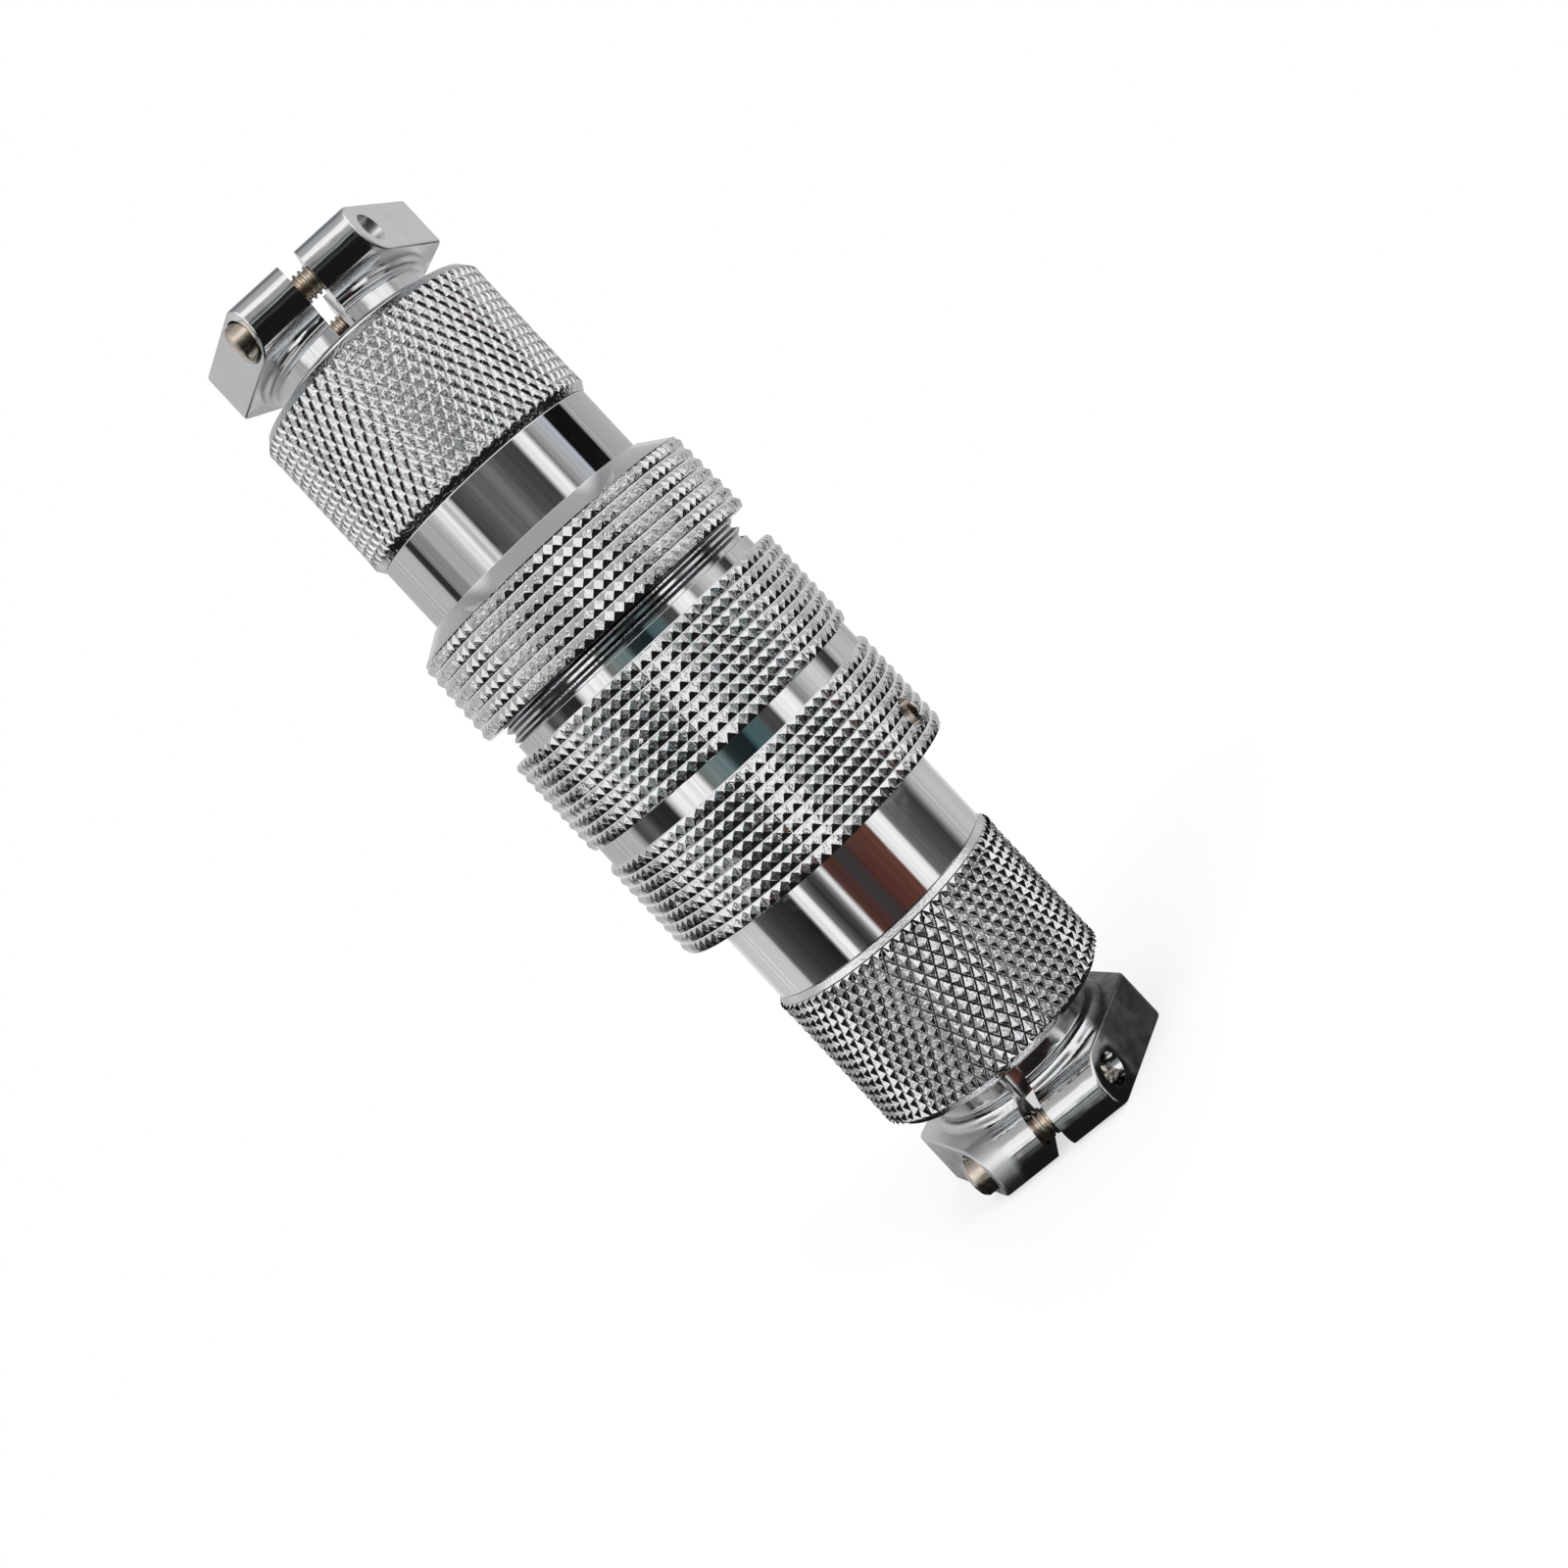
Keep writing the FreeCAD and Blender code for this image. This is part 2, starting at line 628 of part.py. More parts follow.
def allPieces():
    cap = backCap()
    clamp = cableClamp()
    pieces = {}
    pieces["receptacle_back_cap"] = placeOnReceptacle(cap.copy())
    pieces["receptacle_cable_clamp"] = placeOnReceptacle(clamp.copy(), receptacleClampTurn)
    pieces["receptacle_barrel"] = receptacleBarrel()
    pieces["receptacle_shell"] = receptacleShell()
    pieces["docking_ring"] = dockingRing()
    pieces["ring_set_screw"] = ringSetScrew()
    pieces["pin_insulator"] = pinInsulator()
    pieces["pin_retaining_ring"] = springRing(
        shellRearBore + retainerBite - seatGap - retainerRadial, shellRearBore + retainerBite - seatGap,
        pinInsulatorFoot - retainerThick, pinInsulatorFoot, retainerGapAngle, 90)
    pieces["plug_back_cap"] = placeOnPlug(cap)
    pieces["plug_cable_clamp"] = placeOnPlug(clamp, plugClampTurn)
    pieces["plug_barrel"] = plugBarrel()
    pieces["coupling_nut"] = couplingNut()
    pieces["nut_snap_ring"] = nutSnapRing()
    pieces["socket_insulator"] = plugInsulator()
    pieces["socket_retaining_ring"] = springRing(
        barrelBore + retainerBite - seatGap - retainerRadial, barrelBore + retainerBite - seatGap,
        insulatorTop, insulatorTop + retainerThick, retainerGapAngle, 90)
    for number, y in enumerate((-screwOffset, screwOffset), start=1):
        pieces["plug_clamp_screw_%d" % number] = placeOnPlug(clampScrew(y), plugClampTurn)
        pieces["receptacle_clamp_screw_%d" % number] = placeOnReceptacle(clampScrew(-y), receptacleClampTurn)
    for number, (x, y) in enumerate(contactSpots(), start=1):
        pieces["contact_pin_%d" % number] = contactPin(x, y)
        pieces["contact_socket_%d" % number] = contactSocket(x, y)
    return pieces


os.makedirs("parts", exist_ok=True)
for name, shape in allPieces().items():
    shape.exportStep("parts/%s.step" % name)
    print("%-26s volume %8.1f mm3, %d solid" % (name, shape.Volume, len(shape.Solids)))
print("total height %.2f mm" % totalHeight)
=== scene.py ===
import math
import random

import bmesh
import bpy
from mathutils import Matrix, Vector


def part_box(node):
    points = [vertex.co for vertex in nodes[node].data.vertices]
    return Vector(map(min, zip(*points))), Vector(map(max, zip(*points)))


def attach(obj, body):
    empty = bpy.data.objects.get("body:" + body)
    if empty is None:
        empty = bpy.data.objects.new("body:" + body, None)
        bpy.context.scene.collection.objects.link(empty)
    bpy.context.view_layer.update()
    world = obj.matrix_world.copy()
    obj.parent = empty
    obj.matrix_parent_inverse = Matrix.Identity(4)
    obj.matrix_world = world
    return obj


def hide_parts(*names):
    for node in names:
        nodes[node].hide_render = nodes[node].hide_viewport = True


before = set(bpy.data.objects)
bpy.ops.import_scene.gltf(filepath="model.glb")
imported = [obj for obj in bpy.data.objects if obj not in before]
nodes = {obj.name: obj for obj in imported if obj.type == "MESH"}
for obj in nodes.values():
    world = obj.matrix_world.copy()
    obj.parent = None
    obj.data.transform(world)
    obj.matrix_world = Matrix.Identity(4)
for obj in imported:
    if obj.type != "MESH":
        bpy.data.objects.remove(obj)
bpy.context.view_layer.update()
mm = 0.001          # pieces are modelled in millimetres and brought to metres when they are finished
tiny = 0.01         # mm, for telling faces and edges apart
middleHeight = 36   # mm up the axis: the plug's tail parts are above it, the receptacle's below
fullTurn = 2 * math.pi
print("frame loaded:", len(nodes), "nodes")


# Camera: the photo is taken square to the connector's axis from close by, turned by 47 degrees

photo = {
    "width": 1600,            # px
    "mmPerPixel": 0.0633,     # at the depth of the axis
    "distance": 1811,         # px, from the camera to the axis
    "tilt": 47.05,            # degrees, plug end up on the left
    "footHeight": 40.2,       # mm up the axis, where the camera looks square at it
    "footPixel": (645.6, 654.0),
}


def makeCamera():
    lens = bpy.data.cameras.new("photoCamera")
    lens.sensor_width = 36
    lens.lens = lens.sensor_width * photo["distance"] / photo["width"]
    lens.shift_x = 0.5 - photo["footPixel"][0] / photo["width"]
    lens.shift_y = photo["footPixel"][1] / photo["width"] - 0.5
    lens.clip_start = 0.005
    lens.clip_end = 50
    camera = bpy.data.objects.new("photoCamera", lens)
    bpy.context.scene.collection.objects.link(camera)
    lean = math.radians(90 - photo["tilt"])
    right = Vector((math.cos(lean), 0, -math.sin(lean)))
    above = Vector((math.sin(lean), 0, math.cos(lean)))
    back = Vector((0, -1, 0))
    away = photo["distance"] * photo["mmPerPixel"] * mm
    place = Matrix((right, above, back)).transposed().to_4x4()
    place.translation = Vector((0, -away, photo["footHeight"] * mm))
    camera.matrix_world = place
    bpy.context.scene.camera = camera


makeCamera()
print("camera placed")


# Small helpers for every piece

def finishPiece(name, bm, body, replaced, finishes):
    # bring a finished bmesh to metres, give it its finishes, which a face's material_index picks from,
    # and tie it to the frame
    bmesh.ops.scale(bm, vec=(mm, mm, mm), verts=bm.verts)
    mesh = bpy.data.meshes.new(name)
    bm.to_mesh(mesh)
    bm.free()
    for finish in finishes:
        mesh.materials.append(finish)
    piece = bpy.data.objects.new(name, mesh)
    bpy.context.scene.collection.objects.link(piece)
    piece.modifiers.new("evenNormals", "WEIGHTED_NORMAL").keep_sharp = True
    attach(piece, body)
    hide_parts(*replaced)
    print("made", name, len(mesh.polygons), "faces")
    return piece


def span(node):
    # foot, top and outer radius of a turned CAD node, in millimetres
    low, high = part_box(node)
    return low.z / mm, high.z / mm, max(high.x, -low.x, high.y, -low.y) / mm


def radiusOf(point):
    return math.hypot(point.x, point.y)


def softEdges(bm, degrees=30):
    # smooth faces with the steep edges left sharp
    for face in bm.faces:
        face.smooth = True
    limit = math.radians(degrees)
    for edge in bm.edges:
        edge.smooth = len(edge.link_faces) == 2 and edge.calc_face_angle(0) < limit


def weld(bm):
    bmesh.ops.remove_doubles(bm, verts=bm.verts, dist=1e-4)
    bmesh.ops.recalc_face_normals(bm, faces=bm.faces)


def roundOff(bm, geom, radius, segments, affect="EDGES", clampOverlap=False):
    bmesh.ops.bevel(bm, geom=geom, offset=radius, segments=segments, profile=0.5, affect=affect,
                    material=-1, clamp_overlap=clampOverlap)


def spun(outline, steps, roundings):
    # a closed outline of (radius, height) points spun round the axis; roundings are {point number: radius}
    bm = bmesh.new()
    corners = [bm.verts.new((radius, 0, height)) for radius, height in outline]
    for a, b in zip(corners, corners[1:] + corners[:1]):
        bm.edges.new((a, b))
    for number, radius in roundings.items():
        roundOff(bm, [corners[number]], radius, 4, "VERTICES")
    bmesh.ops.spin(bm, geom=bm.verts[:] + bm.edges[:], cent=(0, 0, 0), axis=(0, 0, 1), angle=fullTurn,
                   steps=steps, use_merge=True, use_duplicate=False)
    weld(bm)
    return bm


def joinInto(bm, other):
    # the other bmesh is used up
    mesh = bpy.data.meshes.new("joined")
    other.to_mesh(mesh)
    other.free()
    bm.from_mesh(mesh)
    bpy.data.meshes.remove(mesh)


def addRod(bm, radius, start, end, height, segments=40):
    # a closed round rod at one height, from start to end, both given as (x, y)
    way = Vector((end[0] - start[0], end[1] - start[1], 0))
    rod = bmesh.ops.create_cone(bm, cap_ends=True, segments=segments, radius1=radius, radius2=radius,
                                depth=way.length)["verts"]
    middle = Vector(((start[0] + end[0]) / 2, (start[1] + end[1]) / 2, height))
    place = Matrix.Translation(middle) @ way.to_track_quat("Z", "Y").to_matrix().to_4x4()
    bmesh.ops.transform(bm, matrix=place, verts=rod)


def sliceOff(bm, point, outward):
    # take away what lies beyond a plane and close the cut faces
    bmesh.ops.bisect_plane(bm, geom=bm.verts[:] + bm.edges[:] + bm.faces[:], plane_co=point, plane_no=outward,
                           clear_outer=True, dist=1e-5)
    bmesh.ops.holes_fill(bm, edges=[edge for edge in bm.edges if edge.is_boundary], sides=0)


def subtract(bm, cutter):
    # cut one bmesh out of another; both are used up
    holders = []
    for shape in (bm, cutter):
        mesh = bpy.data.meshes.new("blank")
        shape.to_mesh(mesh)
        shape.free()
        holder = bpy.data.objects.new("blank", mesh)
        bpy.context.scene.collection.objects.link(holder)
        holders.append(holder)
    whole, tool = holders
    cut = whole.modifiers.new("cut", "BOOLEAN")
    cut.operation = "DIFFERENCE"
    cut.solver = "EXACT"
    cut.use_self = True
    cut.object = tool
    bpy.context.view_layer.update()
    shown = whole.evaluated_get(bpy.context.evaluated_depsgraph_get())
    done = bmesh.new()
    done.from_mesh(bpy.data.meshes.new_from_object(shown))
    for holder in holders:
        mesh = holder.data
        bpy.data.objects.remove(holder)
        bpy.data.meshes.remove(mesh)
    return done


# Studio light: white all round for the camera, with the dark and tinted sectors that plating needs to mirror.
# A band is (azimuth in degrees from the camera's side towards +X, colour)

studio = {
    "plainLevel": 0.85,
    "highBands": [   # well above the horizon
        (-180, 0.66), (-100, 0.54), (-66, 0.38), (-60, 0.94), (-26, 0.94), (-20, 0.34), (38, 0.36), (42, 1.0),
        (76, 0.94), (84, 0.38), (100, 0.54), (180, 0.66)],
    "skyBands": [   # just above the horizon
        (-180, 0.58), (-150, 0.46), (-112, 0.52), (-97, 0.47), (-95, 0.03), (-88, 0.03), (-86, 0.24),
        (-76, 0.26), (-68, 0.46), (-58, 0.40), (-51, 0.62), (-47, 0.95), (-42, 0.90), (-39, 0.50),
        (-33, 0.80), (-30, 0.05), (-20, 0.09), (-9, 0.14), (0, 0.12), (8, 0.19), (20, 0.08), (40, 0.05),
        (43, 0.85), (52, 0.95), (56, 0.20), (63, 0.40), (78, (0.50, 0.53, 0.60)), (80, 0.006), (103, 0.006),
        (105, 0.40), (150, 0.46), (180, 0.58)],
    "horizonBands": [
        (-180, 0.62), (-150, 0.45), (-103, 0.50), (-98, 0.34), (-94, 0.06), (-84, 0.12), (-76, 0.03),
        (-60, 0.02), (-54, 0.95), (-31, 0.95), (-27, 0.14), (-22, (0.20, 0.24, 0.23)),
        (-9, (0.13, 0.18, 0.19)), (-4, (0.02, 0.03, 0.03)), (11, (0.01, 0.015, 0.02)),
        (14, (0.065, 0.12, 0.125)), (24, (0.07, 0.12, 0.12)), (28, 0.07), (37, 0.06), (40, 0.95), (54, 0.95),
        (58, 0.22), (66, 0.45), (75, 0.66), (86, 0.66), (94, 0.06), (102, 0.03), (106, 0.50), (125, 0.55),
        (150, 0.42), (180, 0.62)],
    "floorBands": [   # below the horizon
        (-180, 0.90), (-160, 0.80), (-145, 0.58), (-120, 0.68), (-98, 0.60), (-95, 0.11), (-80, 0.05),
        (-51, 0.012), (-48, 0.95), (-39, 0.95), (-37, 0.16), (-29, 0.03), (-23, 0.06), (-19, 0.24),
        (-17, 0.80), (-14, 0.80), (-12, (0.085, 0.034, 0.028)), (-2, (0.075, 0.032, 0.027)),
        (2, (0.050, 0.045, 0.045)), (11, (0.048, 0.038, 0.038)), (15, (0.085, 0.030, 0.024)),
        (38, (0.13, 0.05, 0.04)), (40, 0.95), (54, 0.95), (57, 0.16), (75, 0.08), (92, 0.045), (97, 0.19),
        (103, 0.50), (125, 0.60), (145, 0.50), (180, 0.95)],
    "tableBands": [   # well below the horizon
        (-180, 0.01), (-90, 0.01), (-84, 0.40), (-54, 0.40), (-48, 0.01), (48, 0.01), (54, 0.40), (84, 0.40),
        (90, 0.01), (180, 0.01)],
    "underLevel": 0.01,   # straight below
    # (height of the direction, level) overhead, on the camera's side and on the far side
    "nearCeiling": [(0.28, 0.62), (0.42, 1.04), (0.74, 0.94), (0.775, 0.74), (0.805, 0.48), (1.0, 0.38)],
    "farCeiling": [(0.30, 0.52), (0.60, 0.42), (0.76, 0.30), (0.86, (0.13, 0.155, 0.185)), (1.0, 0.20)],
    "farSide": (-0.1, 0.3),   # depth of the direction, between which the far ceiling takes over
    # heights between which one part takes over from the one below it
    "tableFrom": (-0.66, -0.58), "floorFrom": (-0.33, -0.28), "horizonFrom": (-0.165, -0.148),
    "hazeFrom": (0.010, 0.022), "skyFrom": (0.046, 0.062), "highFrom": (0.150, 0.180),
    "ceilingFrom": (0.28, 0.38),
    "haze": 0.46,   # the darkest that the sectors are just above the horizon
    "streaks": 0.12, "streakScale": 90,
}


def colourRamp(tree, stops):
    ramp = tree.nodes.new("ShaderNodeValToRGB")
    elements = ramp.color_ramp.elements
    for number, (place, colour) in enumerate(stops):
        element = elements[number] if number < 2 else elements.new(place)
        element.position = place
        element.color = (*colour, 1) if isinstance(colour, tuple) else (colour, colour, colour, 1)
    return ramp


def mathNode(tree, operation, first, second):
    node = tree.nodes.new("ShaderNodeMath")
    node.operation = operation
    for socket, value in zip(node.inputs, (first, second)):
        if isinstance(value, bpy.types.NodeSocket):
            tree.links.new(value, socket)
        else:
            socket.default_value = value
    return node.outputs["Value"]


def mixColours(tree, factor, first, second, blend="MIX"):
    mix = tree.nodes.new("ShaderNodeMix")
    mix.data_type = "RGBA"
    mix.blend_type = blend
    for name, value in (("Factor", factor), ("A", first), ("B", second)):
        socket = mix.inputs[name]
        if isinstance(value, bpy.types.NodeSocket):
            tree.links.new(value, socket)
        elif socket.type == "RGBA":
            socket.default_value = (value, value, value, 1)
        else:
            socket.default_value = value
    return mix.outputs["Result"]


def mapRange(tree, value, low, high, toLow=0.0, toHigh=1.0, smooth=False):
    node = tree.nodes.new("ShaderNodeMapRange")
    node.interpolation_type = "SMOOTHSTEP" if smooth else "LINEAR"
    node.inputs["From Min"].default_value = low
    node.inputs["From Max"].default_value = high
    node.inputs["To Min"].default_value = toLow
    node.inputs["To Max"].default_value = toHigh
    tree.links.new(value, node.inputs["Value"])
    return node.outputs["Result"]


def makeWorld():
    world = bpy.data.worlds.new("studio")
    bpy.context.scene.world = world
    world.use_nodes = True
    tree = world.node_tree
    tree.nodes.clear()
    place = tree.nodes.new("ShaderNodeTexCoord")
    split = tree.nodes.new("ShaderNodeSeparateXYZ")
    tree.links.new(place.outputs["Generated"], split.inputs["Vector"])
    height = split.outputs["Z"]
    # the azimuth runs from 0 to 1 and is 0.5 on the camera's side
    turn = tree.nodes.new("ShaderNodeMapping")
    turn.inputs["Rotation"].default_value = (0, 0, math.radians(90))
    radial = tree.nodes.new("ShaderNodeTexGradient")
    radial.gradient_type = "RADIAL"
    tree.links.new(place.outputs["Generated"], turn.inputs["Vector"])
    tree.links.new(turn.outputs["Vector"], radial.inputs["Vector"])
    azimuth = radial.outputs["Fac"]
    bands = {}
    for name in ("highBands", "skyBands", "horizonBands", "floorBands", "tableBands"):
        ramp = colourRamp(tree, [(0.5 + degrees / 360, colour) for degrees, colour in studio[name]])
        tree.links.new(azimuth, ramp.inputs["Fac"])
        bands[name] = ramp.outputs["Color"]
    ceiling = []
    for name in ("nearCeiling", "farCeiling"):
        ramp = colourRamp(tree, studio[name])
        tree.links.new(height, ramp.inputs["Fac"])
        ceiling.append(ramp.outputs["Color"])
    far = mapRange(tree, split.outputs["Y"], *studio["farSide"], smooth=True)
    overhead = mixColours(tree, far, *ceiling)
    # from below upwards, each part over the one before
    mirrored = mixColours(tree, mapRange(tree, height, *studio["tableFrom"]), studio["underLevel"],
                          bands["tableBands"])
    haze = mixColours(tree, 1.0, bands["horizonBands"], studio["haze"], "LIGHTEN")
    for limits, colour in (("floorFrom", bands["floorBands"]), ("horizonFrom", bands["horizonBands"]),
                           ("hazeFrom", haze), ("skyFrom", bands["skyBands"]),
                           ("highFrom", bands["highBands"])):
        mirrored = mixColours(tree, mapRange(tree, height, *studio[limits], smooth=True), mirrored, colour)
    # faint upright streaks, as a room full of things gives
    streak = tree.nodes.new("ShaderNodeTexNoise")
    streak.noise_dimensions = "1D"
    streak.inputs["Scale"].default_value = studio["streakScale"]
    streak.inputs["Detail"].default_value = 3
    tree.links.new(azimuth, streak.inputs["W"])
    shade = mapRange(tree, streak.outputs["Fac"], 0.3, 0.7, 1 - studio["streaks"], 1 + studio["streaks"])
    mirrored = mixColours(tree, 1.0, mirrored, shade, "MULTIPLY")
    high = mapRange(tree, height, *studio["ceilingFrom"], smooth=True)
    mirrored = mixColours(tree, high, mirrored, overhead)
    rays = tree.nodes.new("ShaderNodeLightPath")
    seen = mathNode(tree, "MAXIMUM", rays.outputs["Is Glossy Ray"], rays.outputs["Is Transmission Ray"])
    plainOrMirrored = mixColours(tree, seen, studio["plainLevel"], mirrored)
    whole = mixColours(tree, rays.outputs["Is Camera Ray"], plainOrMirrored, 1.0)
    background = tree.nodes.new("ShaderNodeBackground")
    out = tree.nodes.new("ShaderNodeOutputWorld")
    tree.links.new(whole, background.inputs["Color"])
    tree.links.new(background.outputs["Background"], out.inputs["Surface"])


paleFloor = {
    "radius": 6,                # m
    "paint": (0.9, 0.9, 0.9, 1),
    "shadowEnd": (0.03, 0.25),  # m from the axis, between which the painted floor fades to white
    "shadowShare": 0.35,
}


def makeFloor():
    bm = bmesh.new()
    bmesh.ops.create_circle(bm, cap_ends=True, segments=96, radius=paleFloor["radius"])
    mesh = bpy.data.meshes.new("floor")
    bm.to_mesh(mesh)
    bm.free()
    floor = bpy.data.objects.new("floor", mesh)
    bpy.context.scene.collection.objects.link(floor)
    floor.visible_glossy = False   # the plating mirrors the sectors of the world below the horizon too
    material = bpy.data.materials.new("paleFloor")
    material.use_nodes = True
    tree = material.node_tree
    tree.nodes.clear()
    paint = tree.nodes.new("ShaderNodeBsdfDiffuse")
    paint.inputs["Color"].default_value = paleFloor["paint"]
    white = tree.nodes.new("ShaderNodeEmission")
    place = tree.nodes.new("ShaderNodeTexCoord")
    distance = tree.nodes.new("ShaderNodeVectorMath")
    distance.operation = "LENGTH"
    tree.links.new(place.outputs["Object"], distance.inputs[0])
    # the camera sees white, with a share of the painted floor and its shadow near the object
    share = mapRange(tree, distance.outputs["Value"], *paleFloor["shadowEnd"], paleFloor["shadowShare"], 0.0,
                     smooth=True)
    rays = tree.nodes.new("ShaderNodeLightPath")
    rest = mathNode(tree, "SUBTRACT", 1.0, share)
    whiteness = mathNode(tree, "MULTIPLY", rays.outputs["Is Camera Ray"], rest)
    mixed = tree.nodes.new("ShaderNodeMixShader")
    out = tree.nodes.new("ShaderNodeOutputMaterial")
    tree.links.new(whiteness, mixed.inputs["Fac"])
    tree.links.new(paint.outputs["BSDF"], mixed.inputs[1])
    tree.links.new(white.outputs["Emission"], mixed.inputs[2])
    tree.links.new(mixed.outputs["Shader"], out.inputs["Surface"])
    mesh.materials.append(material)


lamps = {
    "key": {"place": (-0.35, -0.45, 0.60), "size": 0.5, "watts": 2.2},
    "fill": {"place": (0.50, -0.35, 0.30), "size": 0.5, "watts": 1.2},
    "back": {"place": (0.10, 0.60, 0.50), "size": 0.5, "watts": 1.2},
}


def makeLamps():
    middle = Vector((0, 0, middleHeight * mm))
    for name, lamp in lamps.items():
        light = bpy.data.lights.new(name + "Lamp", "AREA")
        light.shape = "DISK"
        light.size = lamp["size"]
        light.energy = lamp["watts"]
        holder = bpy.data.objects.new(name + "Lamp", light)
        holder.location = lamp["place"]
        holder.rotation_euler = (middle - Vector(lamp["place"])).to_track_quat("-Z", "Y").to_euler()
        holder.visible_glossy = False   # the plating mirrors the sectors above instead
        bpy.context.scene.collection.objects.link(holder)


makeWorld()
makeFloor()
makeLamps()
bpy.context.scene.view_settings.view_transform = "Standard"
print("studio lit")


# Finishes

def newFinish(name, baseColour, roughness, metallic=1.0):
    material = bpy.data.materials.new(name)
    material.use_nodes = True
    tree = material.node_tree
    shader = tree.nodes["Principled BSDF"]
    shader.inputs["Base Color"].default_value = (*baseColour, 1)
    shader.inputs["Metallic"].default_value = metallic
    shader.inputs["Roughness"].default_value = roughness
    return material, tree, shader


def noiseAt(tree, scale, detail, stretch=(1, 1, 1)):
    # noise on Object coordinates, stretched along the axes
    place = tree.nodes.new("ShaderNodeTexCoord")
    mapping = tree.nodes.new("ShaderNodeMapping")
    mapping.inputs["Scale"].default_value = stretch
    noise = tree.nodes.new("ShaderNodeTexNoise")
    noise.inputs["Scale"].default_value = scale
    noise.inputs["Detail"].default_value = detail
    tree.links.new(place.outputs["Object"], mapping.inputs["Vector"])
    tree.links.new(mapping.outputs["Vector"], noise.inputs["Vector"])
    return noise.outputs["Fac"]


def tintBetween(tree, factor, first, second):
    mix = tree.nodes.new("ShaderNodeMix")
    mix.data_type = "RGBA"
    mix.inputs["A"].default_value = (*first, 1)
    mix.inputs["B"].default_value = (*second, 1)
    tree.links.new(factor, mix.inputs["Factor"])
    return mix.outputs["Result"]


def cloudTint(tree, shader, noise, first, second):
    # base colour that drifts between two tints
    tree.links.new(tintBetween(tree, noise, first, second), shader.inputs["Base Color"])


def cloudRoughness(tree, shader, noise, limits, roughness):
    # roughness that runs from the first to the second value between two limits of the noise
    tree.links.new(mapRange(tree, noise, *limits, *roughness), shader.inputs["Roughness"])


def bumpFrom(tree, shader, height, depth, strength, before=None):
    # depth is in millimetres; before is the bump that this one goes on top of
    bump = tree.nodes.new("ShaderNodeBump")
    bump.inputs["Strength"].default_value = strength
    bump.inputs["Distance"].default_value = depth * mm
    tree.links.new(height, bump.inputs["Height"])
    if before is not None:
        tree.links.new(before, bump.inputs["Normal"])
    tree.links.new(bump.outputs["Normal"], shader.inputs["Normal"])
    return bump.outputs["Normal"]


def polishedPlating():
    # bright plating over a turned and buffed tube: faint turning rings and orange peel
    material, tree, shader = newFinish("polishedPlating", (0.86, 0.865, 0.87), 0.05)
    cloudTint(tree, shader, noiseAt(tree, 220, 3), (0.82, 0.825, 0.835), (0.89, 0.893, 0.897))
    cloudRoughness(tree, shader, noiseAt(tree, 900, 4), (0.45, 0.75), (0.03, 0.08))
    rings = bumpFrom(tree, shader, noiseAt(tree, 40, 3, (1, 1, 160)), 0.0012, 0.25)
    bumpFrom(tree, shader, noiseAt(tree, 2600, 2), 0.001, 0.35, rings)
    return material


def paintedGrooveShadePlating():
    # the same plating darkened in thread grooves and knurl valleys: painted shade where the grooves fall dark
    material, tree, shader = newFinish("paintedGrooveShadePlating", (0.20, 0.21, 0.23), 0.22)
    cloudTint(tree, shader, noiseAt(tree, 700, 3), (0.10, 0.105, 0.12), (0.36, 0.37, 0.39))
    cloudRoughness(tree, shader, noiseAt(tree, 1500, 3), (0.35, 0.7), (0.12, 0.36))
    bumpFrom(tree, shader, noiseAt(tree, 3200, 2), 0.003, 0.5)
    return material


clampSides = (0.0042, 0.0049)   # m from the slot, between which the plate's sides begin


def satinPlating(name, paintedSideLow, paintedSideHigh):
    # the clamps: bright round the neck and lugs, rougher on the plate's sides; the sides towards +X carry a
    # painted tone between the two side tints: painted shade on the receptacle's clamp, a painted lighter tone
    # on the plug's
    material, tree, shader = newFinish(name, (0.84, 0.85, 0.86), 0.12)
    place = tree.nodes.new("ShaderNodeTexCoord")
    split = tree.nodes.new("ShaderNodeSeparateXYZ")
    tree.links.new(place.outputs["Object"], split.inputs["Vector"])
    across = split.outputs["X"]
    outer = mapRange(tree, mathNode(tree, "ABSOLUTE", across, 0), *clampSides, smooth=True)
    cloud = mapRange(tree, noiseAt(tree, 500, 3), 0.3, 0.7, 0.03, 0.13)
    rougher = mathNode(tree, "MULTIPLY", outer, 0.26)
    tree.links.new(mathNode(tree, "ADD", cloud, rougher), shader.inputs["Roughness"])
    bright = tintBetween(tree, noiseAt(tree, 260, 3), (0.80, 0.815, 0.83), (0.88, 0.885, 0.89))
    # a painted tone on the side towards +X only: painted shade on the receptacle's clamp, a painted lighter
    # tone on the plug's
    paintedSideTone = tintBetween(tree, mapRange(tree, noiseAt(tree, 700, 4), 0.35, 0.65), paintedSideLow, paintedSideHigh)
    side = mapRange(tree, across, *clampSides, smooth=True)
    tree.links.new(mixColours(tree, side, bright, paintedSideTone), shader.inputs["Base Color"])
    dents = bumpFrom(tree, shader, noiseAt(tree, 620, 1), 0.07, 0.6)
    bumpFrom(tree, shader, noiseAt(tree, 5200, 1), 0.002, 0.4, dents)
    return material


